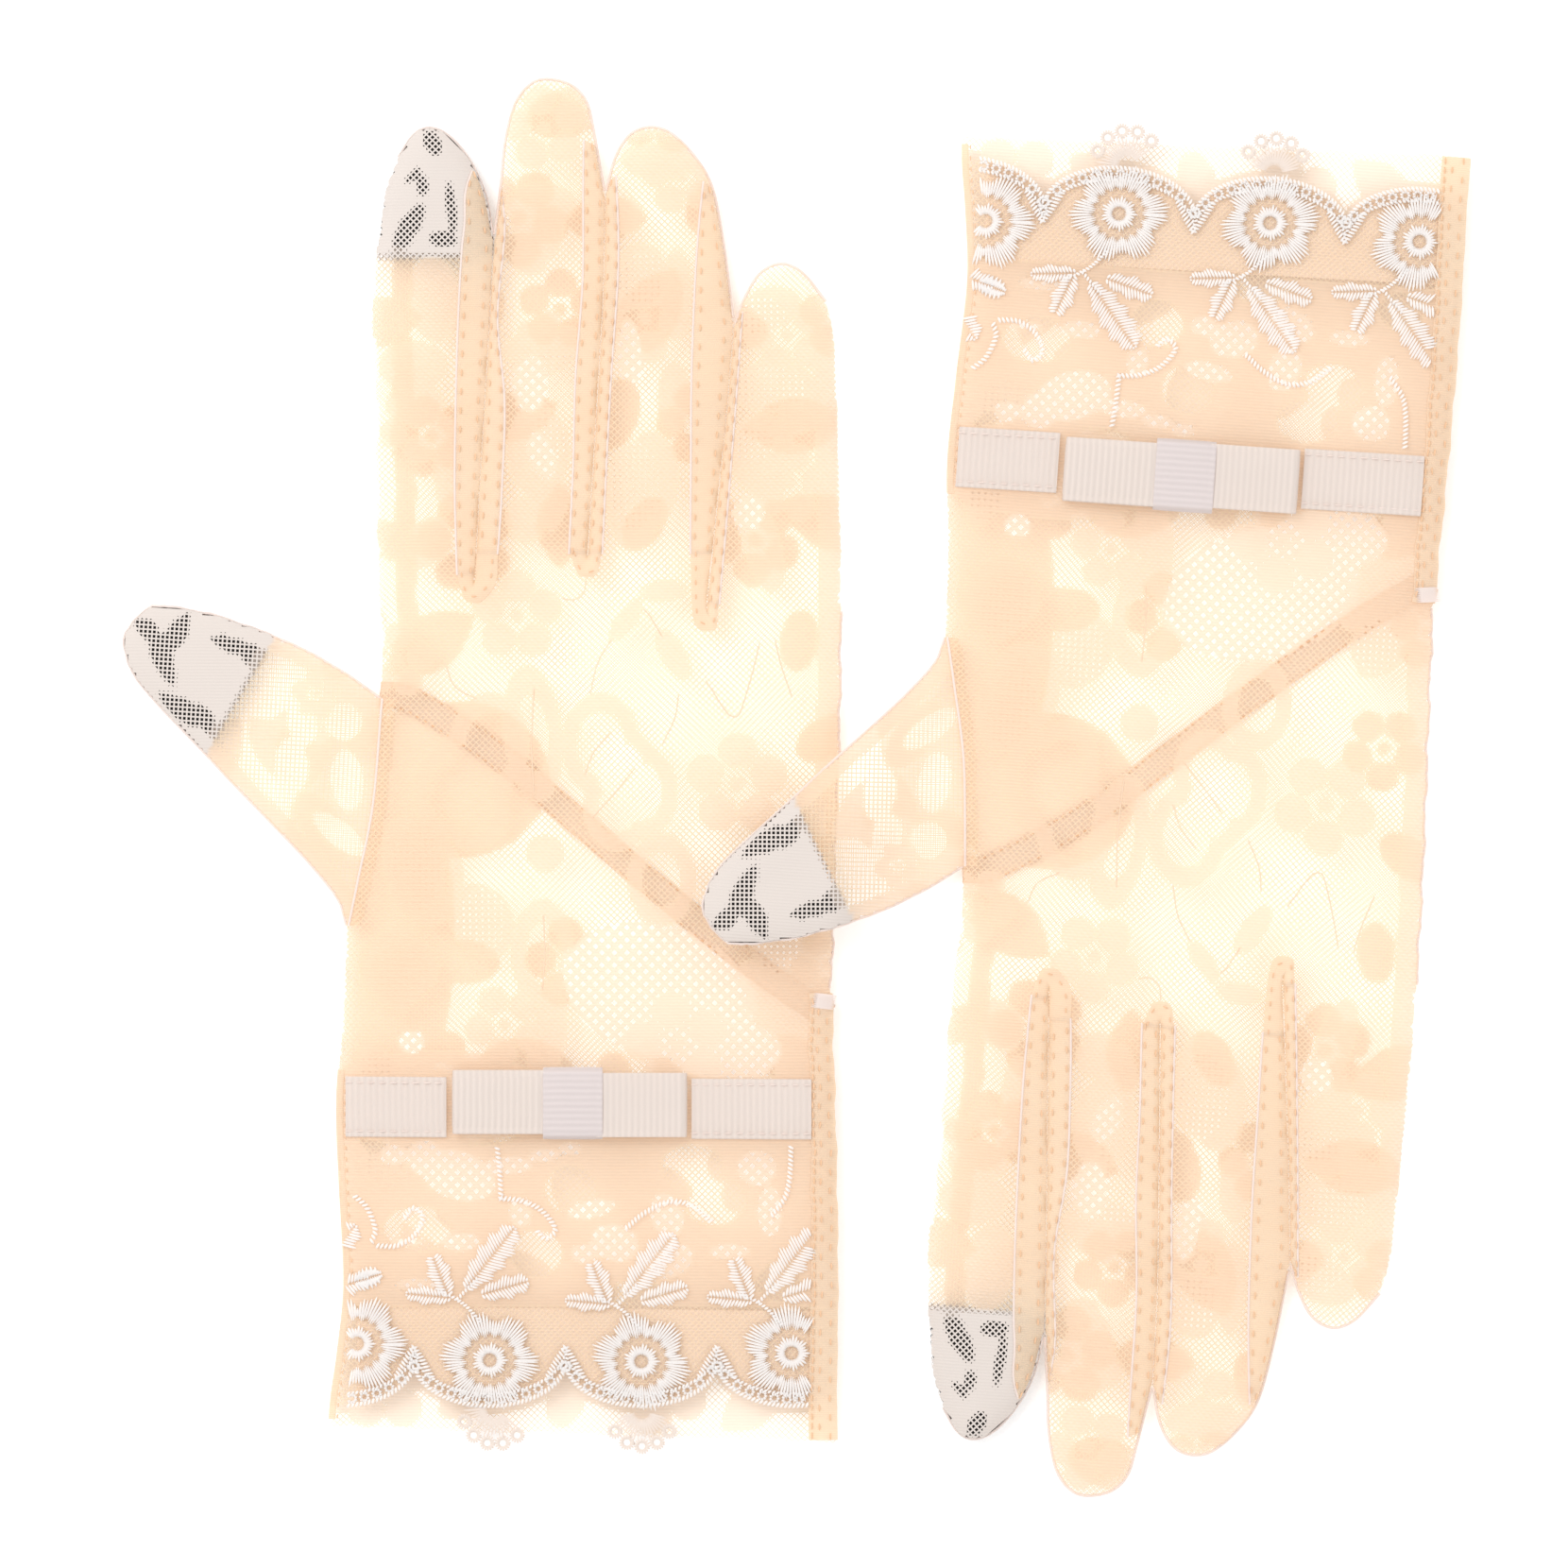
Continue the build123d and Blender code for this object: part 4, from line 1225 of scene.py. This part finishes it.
def cords(glove):
    """The thin rolled seams round the thumb and the little finger's side."""
    little = between(LITTLE_SIDE, SIDE_SEAM_TOP, glove.roots["little"][1] - 0.5)
    side = thread_along(little, lambda p: np.full(len(p), FOLD_Z), 0.0, 0.25)
    solid_piece(glove, "little_side_cord", *side, "thread", "hand")
    rim = resample(THUMB_EDGE, 160)
    round_thumb = tube(np.column_stack([rim, FOLD_Z + glove.climb(rim)]), 0.25)
    solid_piece(glove, "thumb_cord", *round_thumb, "thread", "thumb")
    band_edge = curve([(-32.9, 125.6), (-34.4, 108), (-36.9, 95.2), (-38.6, 87.2)])
    fold = thread_along(band_edge, glove.back, 0.0, 0.22)
    solid_piece(glove, "thumb_fold_cord", *fold, "thread", "hand")


def hem_band(glove):
    """The doubled net behind the embroidery, from the scallops up to a straight edge."""
    xs = np.linspace(-37.2, 40.2, 150)
    low = np.maximum(scallop(xs), 6.2) + 0.35
    rows = np.linspace(0, 1, 26)[:, None]
    y = low[None] * (1 - rows) + (HEM_TOP - 0.012 * (xs[None] + 37)) * rows
    flat = np.dstack([np.broadcast_to(xs, y.shape), y])
    z = glove.back(flat.reshape(-1, 2)).reshape(y.shape) - 0.35
    top = np.dstack([flat, z])
    sheet = slab(top, np.dstack([flat, z - 0.25]))
    solid_piece(glove, "hem_band", *sheet, "double_net", "hand", "cuff_hem_band")


# ================================================================ ribbon and bow
# Where the ribbon's outline has points, from one selvedge to the other, as shares of its half-width.
RIBBON_ACROSS = np.array([-1, -0.97, -0.9, -0.78, -0.76, -0.35, 0, 0.35, 0.76, 0.78, 0.9, 0.97, 1])
RIBBED_TO, SELVEDGE_END = 0.77, 0.99
SELVEDGE_RISE, SELVEDGE_DROP = 0.06, 0.12
RIBBON_THICK, RIB_HIGH = 0.4, 0.14


def ribbon(path, side, wide):
    """A grosgrain ribbon whose middle follows a path; its ribs run across it."""
    count = max(40, int(length(path) / (RIB / 4)))
    line = resample(path, count)
    ahead, side = heading(line), np.asarray(side, float)
    normal = np.cross(ahead, side)
    s = RIBBON_ACROSS
    far = np.linspace(0, length(line), count)
    bulge = RIB_HIGH * np.abs(np.sin(math.pi * far / RIB))[:, None] * (np.abs(s) < RIBBED_TO)[None]
    bulge = bulge + SELVEDGE_RISE * (np.abs(s) > RIBBED_TO)[None]
    bulge = bulge - SELVEDGE_DROP * (np.abs(s) > SELVEDGE_END)[None]
    middle = line[:, None] + side * (s * wide / 2)[None, :, None]
    top = middle + normal[:, None] * (RIBBON_THICK / 2 + bulge)[..., None]
    bottom = middle - normal[:, None] * (RIBBON_THICK / 2 + bulge * 0.6)[..., None]
    return slab(top, bottom)


def ribbon_strip(glove, name, x, node):
    """One ribbon end, sewn flat onto the wrist along both its edges."""
    wide = RIBBON_Y[1] - RIBBON_Y[0]
    top = [RIBBON_Y[1] + 0.15 - RIBBON_SLOPE * end for end in x]
    xs = np.linspace(*x, 60)
    flat = np.stack([xs, np.interp(xs, x, top) - wide / 2], 1)
    path = np.column_stack([flat, glove.back(flat) + 0.35])
    piece = solid_piece(glove, name, *ribbon(path, (0, 1, 0), wide), "grosgrain", "hand", node)
    rows = [dashes(flat + np.array([0, at]), glove.back, 0.72, pitch=1.9, long=1.2, width=0.22)
            for at in (-4.1, 4.1)]
    solid_piece(glove, f"{name}_stitches", *joined(rows), "thread", "hand")


HALF_TURN = np.linspace(-math.pi / 2, math.pi / 2, 12)


def bow_loop(glove, side, reach, tip, base):
    """One loop of the bow: out along the cloth, round at its end and back to the middle."""
    x, r = sum(WRAP_X) / 2, BOW_RISE / 2
    y = sum(BOW_Y) / 2 + (0.25 if tip < 0 else -0.25)
    wide = BOW_Y[1] - BOW_Y[0]
    turn_x = reach - tip * r
    under = [(x, y, base), (turn_x, y, base)]
    end = [(turn_x + tip * r * math.cos(a), y, base + r + r * math.sin(a)) for a in HALF_TURN]
    over = [(turn_x, y, base + 2 * r), (x + tip * 5.5, y, base + 2 * r + 0.25), (x, y, base + 2 * r - 0.25)]
    path = np.array([*under, *end[1:-1], *over])
    loop = ribbon(path, (0, 1, 0), wide - 0.3)
    piece = solid_piece(glove, f"bow_loop_{side}_side", *loop, "grosgrain", "hand", "bow_loops")


def bow_wrap(glove, base):
    """The short ribbon round the bow's middle, from under it and back."""
    low, high = base - 0.35, base + BOW_RISE + 0.45
    x, y = sum(WRAP_X) / 2, sum(BOW_Y) / 2
    r = (high - low) / 2
    first, last = BOW_Y[0] - 0.25 + r, BOW_Y[1] + 0.35 - r
    inner = HALF_TURN[1:-1]
    path = [(x, y - 0.8, low), (x, first, low)]
    path += [(x, first - r * math.cos(a), low + r + r * math.sin(a)) for a in inner]
    path += [(x, first, high), (x, y, high + 0.1), (x, last, high)]
    path += [(x, last + r * math.cos(a), low + r - r * math.sin(a)) for a in inner]
    path += [(x, last, low), (x, y + 0.8, low)]
    wide = WRAP_X[1] - WRAP_X[0]
    wrap = ribbon(np.array(path), (1, 0, 0), wide)
    piece = solid_piece(glove, "wrap_ribbon", *wrap, "wrap", "hand", "bow_wrap")


def bow(glove):
    """The flat bow: two ribbon loops with a short ribbon wrapped round their middle."""
    spots = np.array([(x, y) for x in np.linspace(*BOW_X, 30) for y in np.linspace(*BOW_Y, 5)])
    base = np.percentile(glove.back(spots), 70) + 0.45
    bow_loop(glove, "thumb", BOW_X[0], -1, base)
    bow_loop(glove, "little", BOW_X[1], 1, base)
    bow_wrap(glove, base)


# ================================================================ embroidered border
BORDER_X = (-38.6, 39.4)        # the embroidery is cut off here, where the cuff's sides begin
FLOWERS = ((-37.1, 16.6), (-14.7, 13.8), (10.9, 13.6), (36.3, 15.0))
PEAKS_X = (-1.92, 23.68, -27.52)
PICOTS = ((-13.8, 5.6, -0.4), (11.0, 5.2, 0.0))
SPRAYS = ((-20.5, 24.2), (6.4, 23.1), (30.4, 23.7), (-47.4, 24.6))
SPRAY_LEAVES = ((-2.4, 3.7, 3.9, 1.9, 1.95), (5.8, 6.7, 6.8, 2.6, 0.9), (-4.3, 0.5, 4.0, 1.5, 3.05),
                (8.2, 1.8, 4.4, 1.9, 0.28))
CURLS = ([(-37.4, 41.5), (-35.4, 39.6), (-34.0, 36.0), (-34.6, 34.0)],
         [(-33.6, 33.2), (-30.4, 33.2), (-27.4, 35.0), (-26.0, 38.0), (-27.6, 39.6), (-29.0, 38.0)],
         [(-13.4, 49.6), (-13.0, 45.4), (-12.8, 41.2)],
         [(-12.8, 41.2), (-9.4, 40.8), (-6.0, 39.2), (-3.6, 36.0), (-5.2, 34.4), (-6.6, 35.6)],
         [(8.4, 36.2), (11.6, 38.8), (15.6, 40.6), (19.4, 40.0), (22.6, 37.4)],
         [(36.2, 49.8), (36.0, 45.0), (35.2, 41.4), (33.0, 38.4)])


def stacked(work):
    """The starts and the ends of several groups of stitches, each as one array."""
    return (np.vstack([group[k] for group in work]) for k in (0, 1))


def satin_ring(x, y, inner, outer, step, phase=0.0):
    """Stitches that stand round a circle, from radius inner to radius outer of each angle."""
    a = np.arange(0, 2 * math.pi, step) + phase
    out = np.stack([np.cos(a), np.sin(a)], 1)
    return np.array([x, y]) + out * inner(a)[:, None], np.array([x, y]) + out * outer(a)[:, None]


def satin_leaf(x, y, half_long, half_wide, turn, slant=0.45, step=0.56):
    """Stitches from a leaf's vein to its edge, on both sides."""
    t = np.arange(step - half_long, half_long, step)
    wide = half_wide * np.sqrt(1 - (t / half_long) ** 2) * (1 + 0.16 * np.sin(t * 9 + turn))
    c, s = math.cos(turn), math.sin(turn)
    starts, ends = [], []
    for side in (-1, 1):
        starts.append(np.stack([t, np.full(len(t), 0.06 * side)], 1))
        ends.append(np.stack([t + slant * wide, side * wide], 1))
    rotate = np.array([[c, s], [-s, c]])
    return np.vstack(starts) @ rotate + [x, y], np.vstack(ends) @ rotate + [x, y]


def chain(line, wide=0.7, pitch=0.55):
    """A line of slanting stitches, as an embroidered stem."""
    middle = resample(line, max(3, int(length(line) / pitch)))
    side = wide / 2 * np.stack([-heading(middle)[:, 1], heading(middle)[:, 0]], 1)
    ahead = heading(middle) * pitch * 0.8
    return middle - side - ahead / 2, middle + side + ahead / 2


def always(value):
    """A radius that is the same all the way round."""
    return lambda a: value + 0 * a


def border_flowers():
    """Satin flowers with a wavy outline, each round a small ring."""
    work = []
    for k, (x, y) in enumerate(FLOWERS):
        def lobes(a, k=k):
            return 6.2 + 2.3 * np.abs(np.cos(3 * a + 0.4 * k)) ** 0.8 + 0.3 * np.sin(23 * a)
        work.append(satin_ring(x, y, lambda a: 4.2 + 0.3 * np.sin(17 * a), lobes, 0.078))
        work.append(satin_ring(x, y, always(1.1), lambda a: 2.9 + 0.3 * np.cos(9 * a), 0.21))
    return work


def scalloped_edge():
    """Two chains along the scallops with small rings between them, and a peak between two scallops."""
    xs = np.linspace(-40, 41, 400)
    edge = np.stack([xs, scallop(xs)], 1)
    work = [chain(edge + np.array([0, over]), wide, 0.7) for over, wide in ((0.1, 0.9), (2.1, 0.6))]
    for x in np.arange(-38.0, 39.0, 2.1):
        work.append(satin_ring(x, scallop(x) + 1.15, always(0.35), always(0.95), 0.7, x))
    peak = SCALLOP_Y + 1.3
    for x in PEAKS_X:
        for side in (-1, 1):
            slope = [(x + side * 2.9, peak - 3.9), (x + side * 1.5, peak - 1.3), (x, peak + 1.0)]
            work.append(chain(curve(slope), 1.3))
        work.append(satin_ring(x, peak - 2.2, always(0.45), always(1.15), 0.5))
    return work


def picot_fans(glove):
    """Fans of long stitches that end in small knobs, on the edge of two scallops."""
    picots = []
    for x, y, tip in PICOTS:
        a = np.linspace(math.radians(198), math.radians(342), 19) + tip
        out = np.stack([np.cos(a), np.sin(a)], 1)
        middle, reach = np.array([x, y]), (4.9 + 0.5 * np.cos(a * 10))[:, None]
        picots.append((middle + out * 1.4, middle + out * reach))
        for turn in (215, 243, 270, 297, 325):
            at = math.radians(turn) + tip * 0.6
            knob = (x + 5.6 * math.cos(at), y + 6.0 * math.sin(at))
            picots.append(satin_ring(*knob, always(0.5), always(1.4), 0.4))
    fans = sewn(*stacked(picots), glove.back, 0.1, 0.45, 0.12)
    solid_piece(glove, "picot_fans", *fans, "picot", "hand")


def sprays():
    """Leaf sprays above the flowers, a leaf by the thumb's side, and curls."""
    work = [satin_leaf(x + row[0], y + row[1], *row[2:]) for x, y in SPRAYS for row in SPRAY_LEAVES]
    for x, y in SPRAYS:
        work.append(chain(curve([(x - 0.4, y + 0.3), (x + 1.8, y - 1.2), (x + 4.2, y - 3.8)], 0.5)))
        work.append(chain(np.array([(x + 0.4, y), (x + 3.6, y + 3.4)])))
    work.append(satin_leaf(-35.3, 27.7, 2.4, 1.7, 0.3, slant=0.1, step=0.36))
    work.extend(chain(curve(line, 0.5), 1.0, 0.65) for line in CURLS)
    return work


def embroidery(glove):
    """Flowers, scallops, picots, leaf sprays and curls, every stitch a thread of its own."""
    picot_fans(glove)
    starts, ends = stacked([*border_flowers(), *scalloped_edge(), *sprays()])
    middles = (starts + ends) / 2
    kept = (middles[:, 0] > BORDER_X[0]) & (middles[:, 0] < BORDER_X[1])
    border = sewn(starts[kept], ends[kept], glove.back, 0.3, 0.5, 0.22)
    solid_piece(glove, "border_embroidery", *border, "embroidery", "hand", "cuff_border")


VINES = ([(21.8, 128.7), (25.2, 123.4), (26.4, 122.6), (27.5, 123.0), (29.5, 129.3), (30.9, 135.0)],
         [(33.5, 135.5), (34.6, 131.0), (36.4, 125.8)],
         [(11.2, 140.7), (12.4, 139.5), (14.4, 136.1)],
         [(5.8, 135.5), (3.5, 131.5), (2.3, 126.4)],
         [(1.6, 146.0), (1.2, 143.5), (-0.6, 142.2), (-2.4, 142.6)],
         [(2.6, 105.4), (6.2, 109.4), (9.8, 113.8)],
         [(1.4, 112.8), (2.8, 116.4), (5.8, 120.1)],
         [(-7.2, 127.4), (-7.6, 118.0), (-7.2, 109.3)],
         [(17.2, 126.4), (16.6, 122.4), (14.4, 117.8)],
         [(-5.6, 89.0), (-5.4, 82.0), (-5.8, 76.4)],
         [(-22.0, 131.0), (-20.6, 127.6), (-17.0, 125.6)])


def vines(glove):
    """The thin threads between the leaves on the back of the hand."""
    lines = [thread_along(curve(line), glove.back, 0.03, 0.11) for line in VINES]
    solid_piece(glove, "vine_threads", *joined(lines), "lace_cord", "hand")


def trims(glove):
    """Everything that is sewn onto the lace or into it."""
    finger_strips(glove)
    crotch_strips(glove)
    linings(glove)
    palm_seam(glove)
    side_seams(glove)
    bar_tack(glove)
    cords(glove)
    hem_band(glove)
    ribbon_strip(glove, "ribbon_end_thumb_side", (-39.0, -22.0), "ribbon_thumb_side")
    ribbon_strip(glove, "ribbon_end_little_side", (19.4, 39.6), "ribbon_little_side")
    bow(glove)
    embroidery(glove)
    vines(glove)


# ================================================================ stage
def table():
    """A wide white table with a weak glow of its own, like a light table."""
    mesh = bpy.data.meshes.new("table")
    corners = [(-TABLE_HALF, -TABLE_HALF, 0), (TABLE_HALF, -TABLE_HALF, 0),
               (TABLE_HALF, TABLE_HALF, 0), (-TABLE_HALF, TABLE_HALF, 0)]
    mesh.from_pydata(corners, [], [(0, 1, 2, 3)])
    floor = bpy.data.objects.new("table", mesh)
    bpy.context.scene.collection.objects.link(floor)
    white = bpy.data.materials.new("table")
    white.use_nodes = True
    set_inputs(white.node_tree.nodes["Principled BSDF"],
               {"Base Color": (0.97, 0.97, 0.97, 1), "Roughness": 0.9, "Specular IOR Level": 0.1,
                "Emission Color": (1, 1, 1, 1), "Emission Strength": TABLE_GLOW})
    mesh.materials.append(white)


def studio():
    """A white surround and two soft lamps."""
    world = bpy.data.worlds.new("studio")
    bpy.context.scene.world = world
    world.use_nodes = True
    set_inputs(world.node_tree.nodes["Background"], {"Color": (1, 1, 1, 1), "Strength": SKY})
    for name, place, power, size in LAMPS:
        light = bpy.data.lights.new(name, "AREA")
        light.energy, light.size = power, size
        lamp = bpy.data.objects.new(name, light)
        lamp.location = place
        lamp.rotation_euler = (-Vector(place)).to_track_quat("-Z", "Y").to_euler()
        bpy.context.scene.collection.objects.link(lamp)
    bpy.context.scene.view_settings.view_transform = "Standard"


def camera():
    """The photo's view, from straight above."""
    low, high = np.array(cad_box[0]), np.array(cad_box[1])
    data = bpy.data.cameras.new("camera")
    data.sensor_width = SENSOR_MM
    data.lens = data.sensor_width * CAMERA_HIGH / FRAME_WIDE
    data.clip_end = 20
    eye = bpy.data.objects.new("camera", data)
    middle = (low[:2] + high[:2]) / 2 + CAMERA_SHIFT
    eye.location = (*middle, CAMERA_HIGH)
    bpy.context.scene.collection.objects.link(eye)
    bpy.context.scene.camera = eye


table()
studio()
camera()
for hand, seed in (("right", 11), ("left", 12)):
    glove = Glove(hand, seed)
    lace_panels(glove)
    trims(glove)
